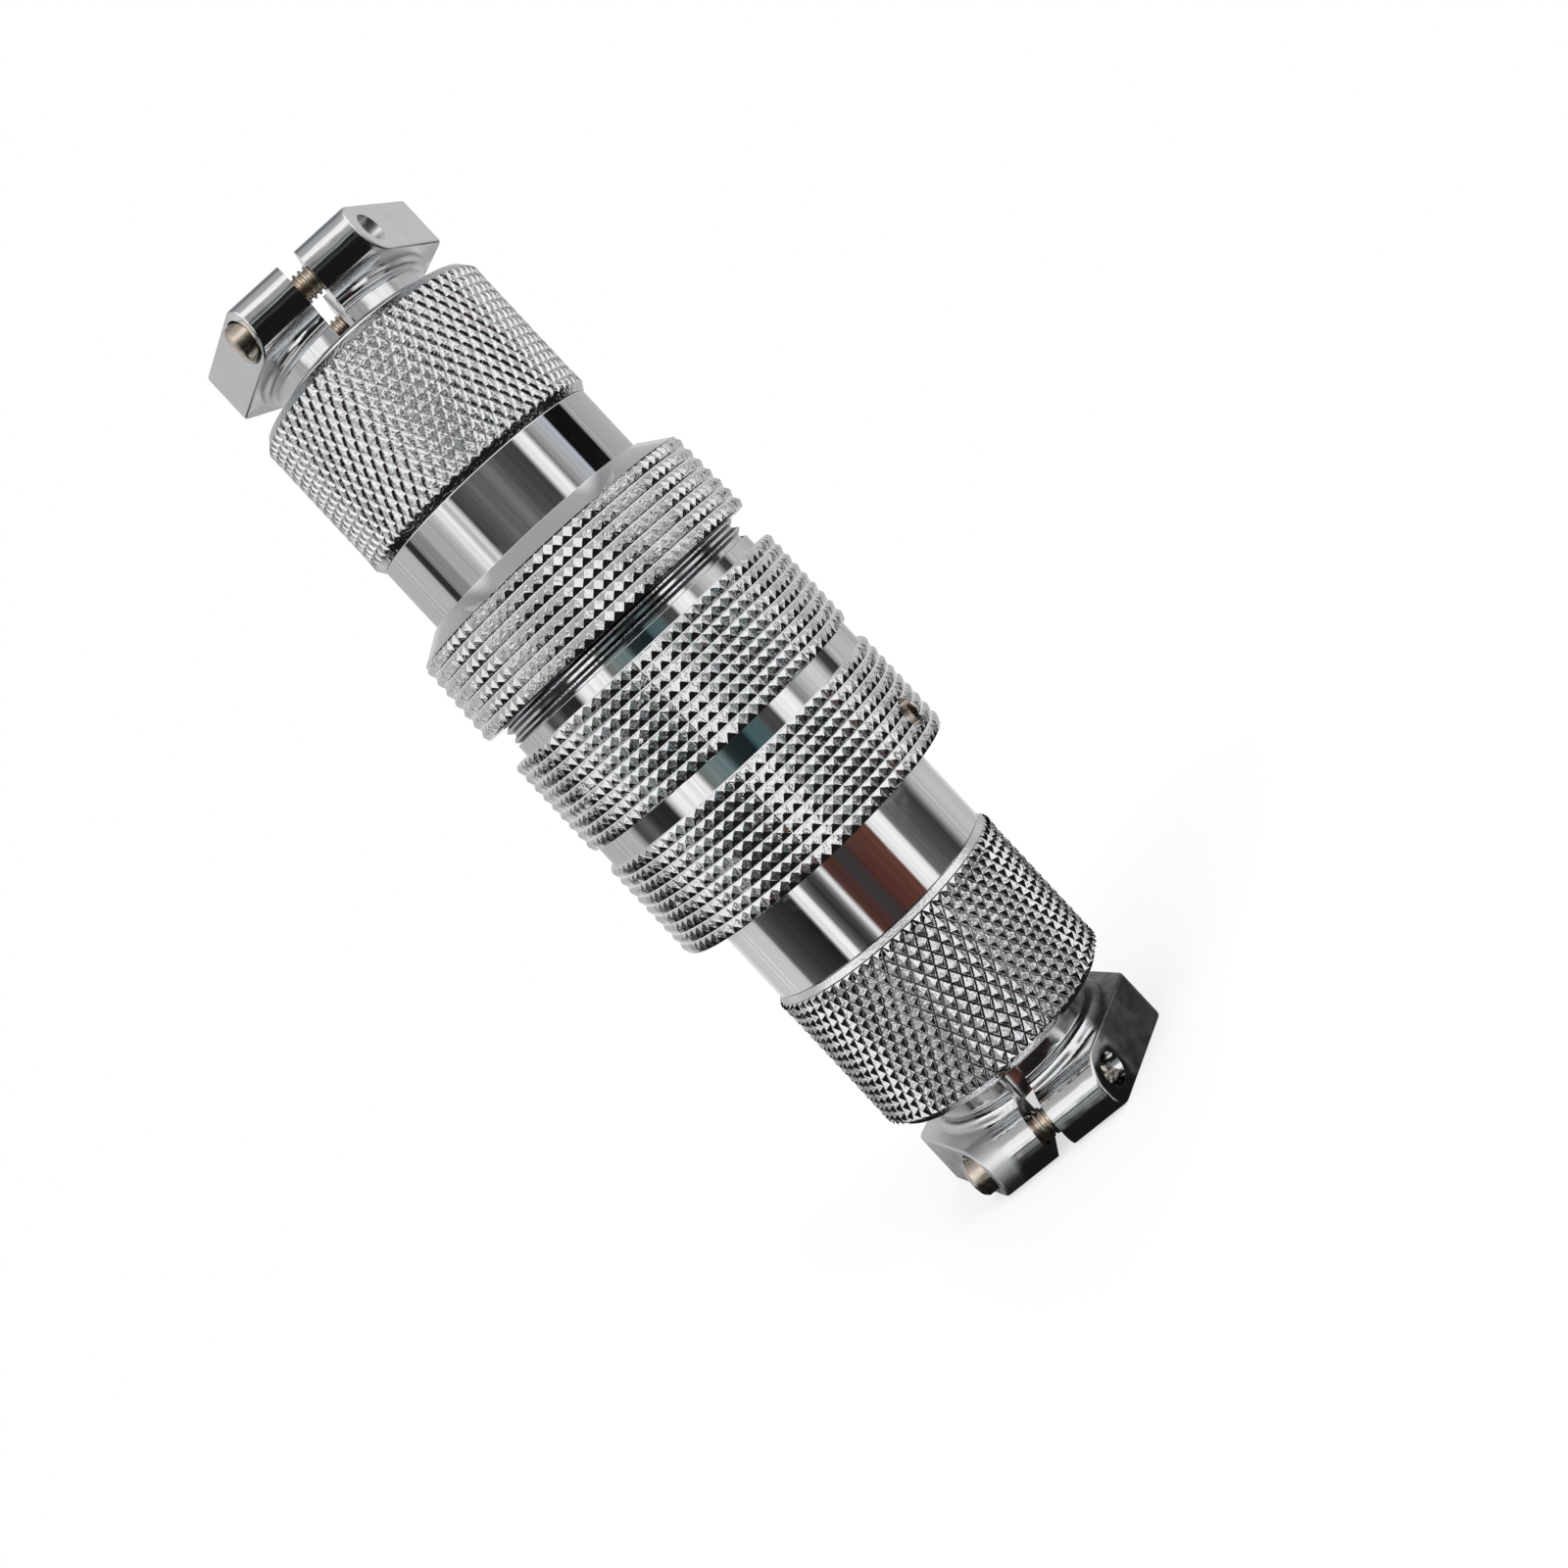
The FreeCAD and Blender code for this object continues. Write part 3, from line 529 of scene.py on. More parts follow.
def knurledPlating(name, roughness, grain):
    # the same plating over knurled teeth: a grainier skin, and scuffed ridges where the burr attribute is set
    material, tree, shader = newFinish(name, (0.86, 0.865, 0.87), roughness)
    burr = tree.nodes.new("ShaderNodeAttribute")
    burr.attribute_name = "burr"
    cloudTint(tree, shader, noiseAt(tree, 900, 4), (0.80, 0.81, 0.825), (0.95, 0.955, 0.96))
    cloud = mapRange(tree, noiseAt(tree, 2400, 3), 0.35, 0.7, roughness * 0.6, roughness * 1.5)
    scuffed = mathNode(tree, "MULTIPLY", burr.outputs["Fac"], 0.5)
    tree.links.new(mathNode(tree, "MAXIMUM", cloud, scuffed), shader.inputs["Roughness"])
    tree.links.new(mapRange(tree, burr.outputs["Fac"], 0, 1, 1.0, 0.35), shader.inputs["Metallic"])
    coarse = bumpFrom(tree, shader, noiseAt(tree, 3000, 2), 0.032 * grain, 0.7)
    bumpFrom(tree, shader, noiseAt(tree, 6000, 2), 0.018 * grain, 0.7, coarse)
    return material


def screwPlating():
    # thin warm plating on the small steel screws, yellower where it is thin
    material, tree, shader = newFinish("screwPlating", (0.80, 0.72, 0.62), 0.14)
    cloudTint(tree, shader, noiseAt(tree, 1200, 3), (0.84, 0.80, 0.74), (0.74, 0.58, 0.44))
    cloudRoughness(tree, shader, noiseAt(tree, 2500, 3), (0.4, 0.7), (0.20, 0.36))
    bumpFrom(tree, shader, noiseAt(tree, 3200, 3), 0.012, 0.5)
    return material


def springSteel():
    material, tree, shader = newFinish("springSteel", (0.50, 0.50, 0.51), 0.28)
    cloudTint(tree, shader, noiseAt(tree, 900, 3), (0.42, 0.42, 0.44), (0.58, 0.58, 0.58))
    bumpFrom(tree, shader, noiseAt(tree, 300, 4, (1, 1, 14)), 0.006, 0.5)
    return material


def mouldedInsulator():
    # black thermoset with a fine speckle and flow marks
    material, tree, shader = newFinish("mouldedInsulator", (0.045, 0.045, 0.05), 0.42, 0.0)
    cloudTint(tree, shader, noiseAt(tree, 1500, 4), (0.030, 0.030, 0.034), (0.075, 0.074, 0.076))
    cloudRoughness(tree, shader, noiseAt(tree, 600, 3), (0.3, 0.7), (0.34, 0.55))
    bumpFrom(tree, shader, noiseAt(tree, 5200, 3), 0.006, 0.6)
    return material


def contactPlating():
    # pale gold over turned contacts
    material, tree, shader = newFinish("contactPlating", (0.86, 0.78, 0.56), 0.16)
    cloudTint(tree, shader, noiseAt(tree, 1100, 3), (0.88, 0.82, 0.64), (0.80, 0.68, 0.44))
    cloudRoughness(tree, shader, noiseAt(tree, 2200, 3), (0.35, 0.7), (0.10, 0.24))
    bumpFrom(tree, shader, noiseAt(tree, 60, 3, (1, 1, 90)), 0.003, 0.4)
    return material


polished = polishedPlating()
# the darkened groove finish is painted shade, put on knurl valleys and thread flanks
paintedGrooveShade = paintedGrooveShadePlating()
# the plug's clamp takes a painted lighter tone on its +X side, the receptacle's clamp a painted shade there
satin = satinPlating("satinPlating", (0.88, 0.885, 0.89), (0.93, 0.935, 0.94))
sideShadedSatin = satinPlating("sideShadedSatinPlating", (0.10, 0.10, 0.105), (0.26, 0.26, 0.27))
knurledBright = knurledPlating("knurledPlating", 0.09, 1.0)
knurledWorn = knurledPlating("wornKnurledPlating", 0.10, 1.5)
screwFinish = screwPlating()
springFinish = springSteel()
insulatorFinish = mouldedInsulator()
contactFinish = contactPlating()
print("finishes made")


# Knurled pieces

knurl = {
    "cellTall": 0.2,      # mm along the axis: taller faces carry a tooth
    "ridgeTall": 0.08,    # lower faces are the thin ridges between the rows
    "burrMargin": 0.3,    # no ridge within this of a band's end
    "outShare": 0.4,      # of the jitter, outwards
    "sharpFrom": 12,      # degrees
}


def bandFaces(bm, low, high, inner):
    # the faces of a spun outline that lie in a knurled band, each with its height along the axis
    for face in bm.faces:
        middle = face.calc_center_median()
        if low < middle.z < high and radiusOf(middle) > inner:
            heights = [v.co.z for v in face.verts]
            yield face, max(heights) - min(heights)


def knurlCells(bm, low, high, inner):
    return [face for face, tall in bandFaces(bm, low, high, inner) if tall > knurl["cellTall"]]


def markBurrs(bm, low, high, inner):
    layer = bm.faces.layers.float.get("burr") or bm.faces.layers.float.new("burr")
    margin = knurl["burrMargin"]
    for face, tall in bandFaces(bm, low + margin, high - margin, inner):
        if tall < knurl["ridgeTall"]:
            face[layer] = 1.0


def markPlain(bm, bands, inner):
    # faces outside the knurled bands, or further in than inner, take the second finish
    for face in bm.faces:
        face.material_index = 1
    for low, high in bands:
        for face, tall in bandFaces(bm, low, high, inner):
            face.material_index = 0


def inRows(verts):
    # row by row and round the axis, so that the random draws fall the same way in each run
    rows = []
    for v in sorted(verts, key=lambda v: v.co.z):
        if not rows or v.co.z - rows[-1][-1].co.z > tiny:
            rows.append([])
        rows[-1].append(v)
    return [v for row in rows for v in sorted(row, key=lambda v: (math.atan2(v.co.y, v.co.x) - 1) % fullTurn)]


def raiseTeeth(bm, cells, tooth):
    # a pyramid on every cell, its point moved along the axis by lean, and none quite like the next
    bmesh.ops.inset_individual(bm, faces=cells, thickness=tooth["side"], depth=tooth["depth"],
                               use_even_offset=True)
    points = inRows({v for face in cells for v in face.verts})
    bmesh.ops.poke(bm, faces=cells, offset=tooth["tip"])
    jitter = tooth["jitter"]
    chance = random.Random(tooth["seed"])
    for v in points:
        out = Vector((v.co.x, v.co.y, 0)).normalized()
        v.co += out * chance.uniform(-jitter, jitter) * knurl["outShare"]
        v.co += Vector((-out.y, out.x, 0)) * chance.uniform(-jitter, jitter)
        v.co.z += tooth["lean"] + chance.uniform(-jitter, jitter)


def bandOutline(foot, top, rows, root, fin):
    # (radius, height) points of a band of rows: a thin ridge, a step up where the rows have one, a flat strip
    pitch = (top - foot) / rows
    rise, tall = fin["step"]
    points = [(root, foot)]
    for row in range(rows):
        height = foot + row * pitch
        if row:
            points.append((root, height - fin["half"]))
            points.append((root + fin["height"], height))
            height += fin["half"]
            points.append((root, height))
        if rise:
            points.append((root + rise, height + tall))
    return points + [(root, top)]


ring = {
    "teeth": 84, "rows": 9, "band": 7.4, "edge": 0.05, "grooveDepth": 0.44, "rimDepth": 0.2, "skin": 0.1,
    "fin": {"half": 0.028, "height": 0.024, "step": (0, 0)},
    "tooth": {"side": 0.35, "depth": 0.150, "tip": 0.010, "lean": 0.09, "jitter": 0.016, "seed": 4},
    "threadBore": 10.03, "barrelBore": 8.67, "stepAboveFoot": 4.4,
    "screwHole": {"radius": 1.03, "height": 2.3, "angle": -30, "reach": 14},
}


def makeDockingRing():
    foot, top, tipRadius = span("docking_ring")
    root = tipRadius - ring["tooth"]["depth"] - ring["tooth"]["tip"]
    rim, skin, edge = root - ring["rimDepth"], root - ring["skin"], ring["edge"]
    groove = tipRadius - ring["grooveDepth"]
    lowTop = foot + ring["band"]
    highFoot = top - ring["band"]
    threadBore, barrelBore, step = ring["threadBore"], ring["barrelBore"], foot + ring["stepAboveFoot"]
    outline = [(barrelBore, foot), (rim, foot)]
    outline += bandOutline(foot + edge, lowTop - edge, ring["rows"], root, ring["fin"])
    outline += [(groove, lowTop), (groove, highFoot)]
    outline += bandOutline(highFoot + edge, top - edge, ring["rows"], root, ring["fin"])
    outline += [(rim, top), (threadBore, top), (threadBore, step), (barrelBore, step)]
    bm = spun(outline, ring["teeth"], {})
    cells = []
    for low, high in ((foot, lowTop), (highFoot, top)):
        markBurrs(bm, low, high, skin)
        cells += knurlCells(bm, low + edge, high - edge, skin)
    raiseTeeth(bm, cells, ring["tooth"])
    softEdges(bm, knurl["sharpFrom"])
    hole = ring["screwHole"]
    angle = math.radians(hole["angle"])
    drill = bmesh.new()
    addRod(drill, hole["radius"], (0, 0), (hole["reach"] * math.cos(angle), hole["reach"] * math.sin(angle)),
           foot + hole["height"])
    bm = subtract(bm, drill)
    markPlain(bm, ((foot + edge, lowTop - edge), (highFoot + edge, top - edge)), skin)
    return bm


finishPiece("dockingRing", makeDockingRing(), "receptacle", ["docking_ring"], [knurledBright, polished])


nut = {
    "teeth": 88, "rows": 7, "edge": 0.02, "rimDepth": 0.1, "skinOverBore": 0.3,
    "fin": {"half": 0.030, "height": 0.030, "step": (0.07, 0.09)},
    "tooth": {"side": 0.32, "depth": 0.165, "tip": 0.012, "lean": -0.03, "jitter": 0.018, "seed": 7},
    "mouthTip": 11.28, "coneTip": 11.05, "coneFoot": 6.2, "coneTop": 8.95, "coneStep": 0.12,
    "coneRound": 0.08, "threadBore": 10.06, "lipBore": 8.70, "lip": 2.0, "mouthBevel": 0.4,
}


def makeCouplingNut():
    foot, top, _ = span("coupling_nut")
    coneFoot = foot + nut["coneFoot"]
    root = nut["mouthTip"] - nut["tooth"]["depth"] - nut["tooth"]["tip"] - nut["fin"]["step"][0] / 2
    taper = (nut["mouthTip"] - nut["coneTip"]) / nut["coneFoot"]
    low, high = foot + nut["edge"], coneFoot - nut["edge"]
    threadBore, lipBore, lipFoot = nut["threadBore"], nut["lipBore"], top - nut["lip"]
    skin = threadBore + nut["skinOverBore"]
    outline = [(threadBore + nut["mouthBevel"], foot), (root - nut["rimDepth"], foot)]
    outline += [(radius - taper * (height - foot), height)
                for radius, height in bandOutline(low, high, nut["rows"], root, nut["fin"])]
    outline.append((nut["coneTip"] - nut["coneStep"], coneFoot))
    coneTop = len(outline)
    outline += [(nut["coneTop"], top), (lipBore, top), (lipBore, lipFoot), (threadBore, lipFoot),
                (threadBore, foot + nut["mouthBevel"])]
    bm = spun(outline, nut["teeth"], {coneTop: nut["coneRound"]})
    markBurrs(bm, foot, coneFoot, skin)
    raiseTeeth(bm, knurlCells(bm, low, high, skin), nut["tooth"])
    softEdges(bm, knurl["sharpFrom"])
    markPlain(bm, [(low, high)], skin)
    return bm


finishPiece("couplingNut", makeCouplingNut(), "nut", ["coupling_nut"], [knurledBright, polished])


cap = {
    "starts": 68, "rows": 7, "rim": 0.06, "skin": 0.05,
    "mouthChamfer": (0.40, 0.26), "topChamfer": (0.45, 0.35),   # along the axis, and inwards
    "neckBore": 6.26, "spigotBore": 7.93, "endWall": 1.6,
    # flanks are (side, depth). The plug's cap has worn, nearly flat diamonds; the receptacle's are sharp,
    # their points hang down, and the valleys between them are wide
    "plug_back_cap": {
        "valley": 0.004, "flank": (0.15, 0.122),
        "tooth": {"side": 0.15, "depth": 0.02, "tip": 0.01, "lean": 0, "jitter": 0.014, "seed": 11}},
    "receptacle_back_cap": {
        "valley": 0.034, "flank": (0.03, 0.045),
        "tooth": {"side": 0.24, "depth": 0.20, "tip": 0.01, "lean": 0.11, "jitter": 0.014, "seed": 12}},
}


def makeBackCap(node):
    # drawn from its mouth at height 0 up to the cable end
    low, high, tipRadius = span(node)
    length = high - low
    tooth = cap[node]["tooth"]
    flankSide, flankDepth = cap[node]["flank"]
    root = tipRadius - flankDepth - tooth["depth"] - tooth["tip"]
    skin = root - cap["skin"]
    foot, mouthDepth = cap["mouthChamfer"]
    topHeight, topDepth = cap["topChamfer"]
    top = length - topHeight
    pitch = (top - foot) / cap["rows"]
    rim, inside = root + cap["rim"], length - cap["endWall"]
    outline = [(cap["spigotBore"], 0), (rim - mouthDepth, 0), (rim, foot)]
    outline += [(root, foot + pitch * row) for row in range(1, cap["rows"] + 1)]
    outline += [(root - topDepth, length), (cap["neckBore"], length), (cap["neckBore"], inside),
                (cap["spigotBore"], inside)]
    bm = spun(outline, cap["starts"], {})
    # upright cells to diamonds: poke each one and join the halves across the old edges
    cells = knurlCells(bm, foot, top, skin)
    whole = set(cells)
    old = {edge for face in cells for edge in face.edges if whole.issuperset(edge.link_faces)}
    for v in bmesh.ops.poke(bm, faces=cells, offset=0)["verts"]:
        v.co.xy = v.co.xy.normalized() * root     # a poke's middle lies on the chord
    bmesh.ops.dissolve_edges(bm, edges=list(old), use_verts=False)
    diamonds = knurlCells(bm, foot, top, skin)
    # valleys round every diamond, given the darkened finish as painted shade, steep flanks, then the teeth
    valleys = bmesh.ops.inset_individual(bm, faces=diamonds, thickness=cap[node]["valley"], depth=0,
                                         use_even_offset=True)["faces"]
    # the second finish here is painted shade in the valleys
    for face in valleys:
        face.material_index = 1
    bmesh.ops.inset_individual(bm, faces=diamonds, thickness=flankSide, depth=flankDepth,
                               use_even_offset=True)
    raiseTeeth(bm, diamonds, tooth)
    softEdges(bm, knurl["sharpFrom"])
    return bm


def faceUp(bm, node):
    # caps are drawn with the cable leaving upwards: set them on the plug, or head down on the receptacle
    low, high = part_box(node)
    if low.z / mm > middleHeight:
        place = Matrix.Translation((0, 0, low.z / mm))
    else:
        place = Matrix.Translation((0, 0, high.z / mm)) @ Matrix.Rotation(math.pi, 4, "X")
    bmesh.ops.transform(bm, matrix=place, verts=bm.verts)
    return bm


finishPiece("plugBackCap", faceUp(makeBackCap("plug_back_cap"), "plug_back_cap"), "plug",
            ["plug_back_cap"], [knurledWorn, paintedGrooveShade])
finishPiece("receptacleBackCap", faceUp(makeBackCap("receptacle_back_cap"), "receptacle_back_cap"),
            "receptacle", ["receptacle_back_cap"], [knurledBright, paintedGrooveShade])


# Plain turned pieces

turnedSteps = 160
tube = {   # what both barrels share
    "bore": 7.3, "radius": 8.64, "shoulderRound": 0.12, "spigot": 7.9, "spigotLength": 8.0,
    "spigotRound": 0.15,
}
plugTube = {   # the key is (width, height, length)
    "flange": 9.7, "flangeAt": (45.75, 47.15), "skirt": 8.24, "skirtRound": 0.2, "key": (2.0, 0.45, 7.0),
}
tailTube = {"flange": 9.8, "flangeThick": 1.4}


def makePlugBarrel():
    foot, top, _ = span("plug_barrel")
    shoulder = top - tube["spigotLength"]
    low, high = plugTube["flangeAt"]
    bore, radius, spigot = tube["bore"], tube["radius"], tube["spigot"]
    skirt, flange = plugTube["skirt"], plugTube["flange"]
    bm = spun([(bore, foot), (skirt, foot), (skirt, low), (flange, low), (flange, high), (radius, high),
               (radius, shoulder), (spigot, shoulder), (spigot, top), (bore, top)], turnedSteps,
              {1: plugTube["skirtRound"], 6: tube["shoulderRound"], 8: tube["spigotRound"]})
    width, height, length = plugTube["key"]
    key = bmesh.ops.create_cube(bm, size=1)["verts"]
    bmesh.ops.scale(bm, vec=(width, height * 2, length), verts=key)
    bmesh.ops.translate(bm, vec=(0, -skirt, low - length / 2), verts=key)
    softEdges(bm)
    return bm


def makeTailBarrel():
    foot, top, _ = span("receptacle_barrel")
    shoulder = foot + tube["spigotLength"]
    under = top - tailTube["flangeThick"]
    bore, radius, spigot, flange = tube["bore"], tube["radius"], tube["spigot"], tailTube["flange"]
    bm = spun([(bore, foot), (spigot, foot), (spigot, shoulder), (radius, shoulder), (radius, under),
               (flange, under), (flange, top), (bore, top)], turnedSteps,
              {1: tube["spigotRound"], 3: tube["shoulderRound"]})
    softEdges(bm)
    return bm


def addThread(bm, start, turns, crestRadius, ridge):
    # a ridge wound round a plain core, its foot sunk into it and its ends closed
    half, tip = ridge["foot"] / 2, ridge["crest"] / 2
    inner = crestRadius - ridge["depth"] - 2 * tiny
    wound = bmesh.new()
    corners = [wound.verts.new((radius, 0, start + height)) for radius, height in (
        (inner, -half), (crestRadius, -tip), (crestRadius, tip), (inner, half))]
    loop = [wound.edges.new((a, b)) for a, b in zip(corners, corners[1:] + corners[:1])]
    steps = round(turns * ridge["steps"])
    made = bmesh.ops.spin(wound, geom=corners + loop, cent=(0, 0, 0), axis=(0, 0, 1),
                          angle=fullTurn * steps / ridge["steps"], steps=steps,
                          dvec=(0, 0, ridge["pitch"] / ridge["steps"]), use_duplicate=False)
    wound.faces.new(corners[::-1])
    wound.faces.new([v for v in made["geom_last"] if isinstance(v, bmesh.types.BMVert)])
    bmesh.ops.recalc_face_normals(wound, faces=wound.faces)
    joinInto(bm, wound)


thread = {"pitch": 0.75, "crest": 0.12, "foot": 0.62, "depth": 0.34, "steps": 96}
shell = {
    "rearBore": 7.7, "frontBore": 8.30, "ledge": 7.0, "ledgeAt": (35.35, 36.95), "land": 0.85,
    "landRound": 0.06, "mouthBevel": 0.4, "mouthChamfer": 0.2, "runIn": 0.1, "rubbed": 0.05,
}


def makeReceptacleShell():
    foot, top, radius = span("receptacle_shell")
    landTop = span("docking_ring")[1] + shell["land"]
    core = radius - thread["depth"]
    low, high = shell["ledgeAt"]
    rear, front, ledge, chamfer = shell["rearBore"], shell["frontBore"], shell["ledge"], shell["mouthChamfer"]
    bm = spun([(rear, foot), (radius, foot), (radius, landTop), (core, landTop), (core, top - chamfer),
               (core - chamfer, top), (front, top), (front, high), (ledge, high), (ledge, low), (rear, low)],
              turnedSteps, {2: shell["landRound"]})
    turns = (top - shell["mouthBevel"] - landTop) / thread["pitch"]
    addThread(bm, landTop - shell["runIn"], turns, radius - tiny, thread)
    softEdges(bm)
    # flanks darkened with painted shade, and a rubbed crest; the bright line along the groove is the core
    # itself
    for face in bm.faces:
        middle = face.calc_center_median()
        if middle.z > landTop + 2 * tiny and radiusOf(middle) > core + tiny:
            # the second finish on the flanks is painted shade
            face.material_index = 1 if radiusOf(middle) < radius - shell["rubbed"] else 2
    return bm


finishPiece("plugBarrel", makePlugBarrel(), "plug", ["plug_barrel"], [polished])
finishPiece("receptacleBarrel", makeTailBarrel(), "receptacle", ["receptacle_barrel"], [polished])
finishPiece("receptacleShell", makeReceptacleShell(), "receptacle", ["receptacle_shell"],
            [polished, paintedGrooveShade, knurledBright])


# Cable clamps and their screws, drawn with the cable leaving upwards; height 0 is the outer face of the cap

clamp = {
    "steps": 96, "bore": 4.2, "neck": 6.2, "lip": (7.1, -2.35, -1.65),   # lip and collar: radius, foot, top
    "collar": (6.5, 0.05, 0.80), "collarRounds": (0.22, 0.28), "flare": 0.7, "flareRound": 0.672,
    "plateFoot": 2.4, "thick": 3.6, "neckInPlate": 0.5, "slot": 1.35,
    "halfWidth": 8.65, "lugHalf": 4.3, "reach": 9.1, "lugOuter": 1.25, "lugInner": 2.0,
    "corner": 0.45, "edge": 0.16, "edgeFrom": 35,
    "screwOffset": 7.2, "seat": 4.0, "clear": 1.12, "pocket": 1.46, "tapped": 1.03, "drill": 12,
    "plugTurn": 2.3, "receptacleTurn": -12.0,
}


def splitAtSlot(bm):
    # the two jaws, with the slot between them left out
    jaws = []
    for side in (-1, 1):
        jaw = bm.copy()
        sliceOff(jaw, (side * clamp["slot"] / 2, 0, 0), (-side, 0, 0))
        jaws.append(jaw)
    bm.free()
    return jaws


def makeNeck():
    # swaged lip, neck and collar, whole all round, and the split neck between the collar and the plate
    bore, neck, flare, foot = clamp["bore"], clamp["neck"], clamp["flare"], clamp["plateFoot"]
    lipRadius, lipLow, lipHigh = clamp["lip"]
    collarRadius, collarLow, collarHigh = clamp["collar"]
    under, into = collarHigh - 2 * tiny, foot + clamp["neckInPlate"]
    bm = spun([(bore, lipLow), (lipRadius, lipLow), (lipRadius, lipHigh), (neck, lipHigh), (neck, collarLow),
               (collarRadius, collarLow), (collarRadius, collarHigh), (bore, collarHigh)], clamp["steps"],
              {5: clamp["collarRounds"][0], 6: clamp["collarRounds"][1]})
    upper = spun([(bore, under), (neck, under), (neck, foot - flare), (neck + flare, foot - flare),
                  (neck + flare, into), (bore, into)], clamp["steps"], {3: clamp["flareRound"]})
    for jaw in splitAtSlot(upper):
        joinInto(bm, jaw)
    return bm


def makePlate():
    # six-sided, its ends rounded as lugs, its upright corners and rims softened, and bored for the cable
    foot, top = clamp["plateFoot"], clamp["plateFoot"] + clamp["thick"]
    halfWidth, reach = clamp["halfWidth"], clamp["reach"]
    plate = bmesh.new()
    bmesh.ops.create_cube(plate, size=1)
    bmesh.ops.scale(plate, vec=(2 * halfWidth, 2 * reach, clamp["thick"]), verts=plate.verts)
    bmesh.ops.translate(plate, vec=(0, 0, (foot + top) / 2), verts=plate.verts)
    for outward in (1, -1):
        for along in (1, -1):
            slant = Vector((reach * outward, (halfWidth - clamp["lugHalf"]) * along, 0)).normalized()
            sliceOff(plate, (halfWidth * outward, 0, 0), slant)
    for radius, height in ((clamp["lugInner"], foot), (clamp["lugOuter"], top)):
        ends = [edge for edge in plate.edges if all(
            abs(v.co.z - height) < tiny and abs(v.co.y) > reach - tiny for v in edge.verts)]
        roundOff(plate, ends, radius, 9)
    roundOff(plate, [edge for edge in plate.edges if all(abs(v.co.y) < tiny for v in edge.verts)],
             clamp["corner"], 4)
    steep = math.radians(clamp["edgeFrom"])
    roundOff(plate, [edge for edge in plate.edges if edge.calc_face_angle(0) > steep], clamp["edge"], 3,
             clampOverlap=True)
    cutter = bmesh.new()
    bmesh.ops.create_cone(cutter, cap_ends=True, segments=clamp["steps"], radius1=clamp["bore"],
                          radius2=clamp["bore"], depth=clamp["drill"])
    bmesh.ops.translate(cutter, vec=(0, 0, foot + 2), verts=cutter.verts)
    return subtract(plate, cutter)


def drillJaw(jaw, side):
    # across each lug: a plain hole and a pocket for the head in the -X jaw, a tapped hole in the other, each
    # given as (radius, from, to)
    far = side * clamp["drill"]
    if side < 0:
        holes = ((clamp["clear"], 0.5, far / 2), (clamp["pocket"], -clamp["seat"], far))
    else:
        holes = ((clamp["tapped"], 0, far),)
    height = clamp["plateFoot"] + clamp["thick"] / 2
    for y in (-clamp["screwOffset"], clamp["screwOffset"]):
        for radius, start, end in holes:
            cutter = bmesh.new()
            addRod(cutter, radius, (start, y), (end, y), height)
            jaw = subtract(jaw, cutter)
    return jaw


def makeCableClamp():
    bm = makeNeck()
    for jaw, side in zip(splitAtSlot(makePlate()), (-1, 1)):
        joinInto(bm, drillJaw(jaw, side))
    weld(bm)
    softEdges(bm, 32)
    return bm


def placeClamp(bm, node, turn):
    # onto the plug with the cable end up, or head down under the receptacle
    low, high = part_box(node)
    length = clamp["plateFoot"] + clamp["thick"]
    if low.z / mm > middleHeight:
        place = Matrix.Translation((0, 0, high.z / mm - length))
    else:
        headDown = Matrix.Rotation(math.pi, 4, "Y") @ Matrix.Scale(-1, 4, (1, 0, 0))
        place = Matrix.Translation((0, 0, low.z / mm + length)) @ headDown
    bmesh.ops.transform(bm, matrix=Matrix.Rotation(math.radians(turn), 4, "Z") @ place, verts=bm.verts)
    bmesh.ops.recalc_face_normals(bm, faces=bm.faces)
    return bm


finishPiece("plugCableClamp", placeClamp(makeCableClamp(), "plug_cable_clamp", clamp["plugTurn"]),
            "plug_clamp", ["plug_cable_clamp"], [satin])
# the receptacle's clamp: painted shade on its +X side
finishPiece("receptacleCableClamp",
            placeClamp(makeCableClamp(), "receptacle_cable_clamp", clamp["receptacleTurn"]),
            "receptacle_clamp", ["receptacle_cable_clamp"], [sideShadedSatin])


screw = {
    "steps": 40, "headRadius": 1.32, "headHeight": 1.95, "headRound": 0.12, "dome": 0.4,
    "crown": ((0.6, 0.1), (0.86, 0.42)),   # shares of the head's radius, and of the dome down from its top
    "recess": 0.66, "recessHalf": 0.17, "recessDepth": 0.6, "recessTaper": 0.8, "recessTurn": 20,
    "coreRadius": 0.80, "radius": 0.99, "length": 8.31, "point": 0.25, "pointRadius": 0.48,
    "thread": {"pitch": 0.4, "crest": 0.09, "foot": 0.32, "depth": 0.19, "steps": 28},
}


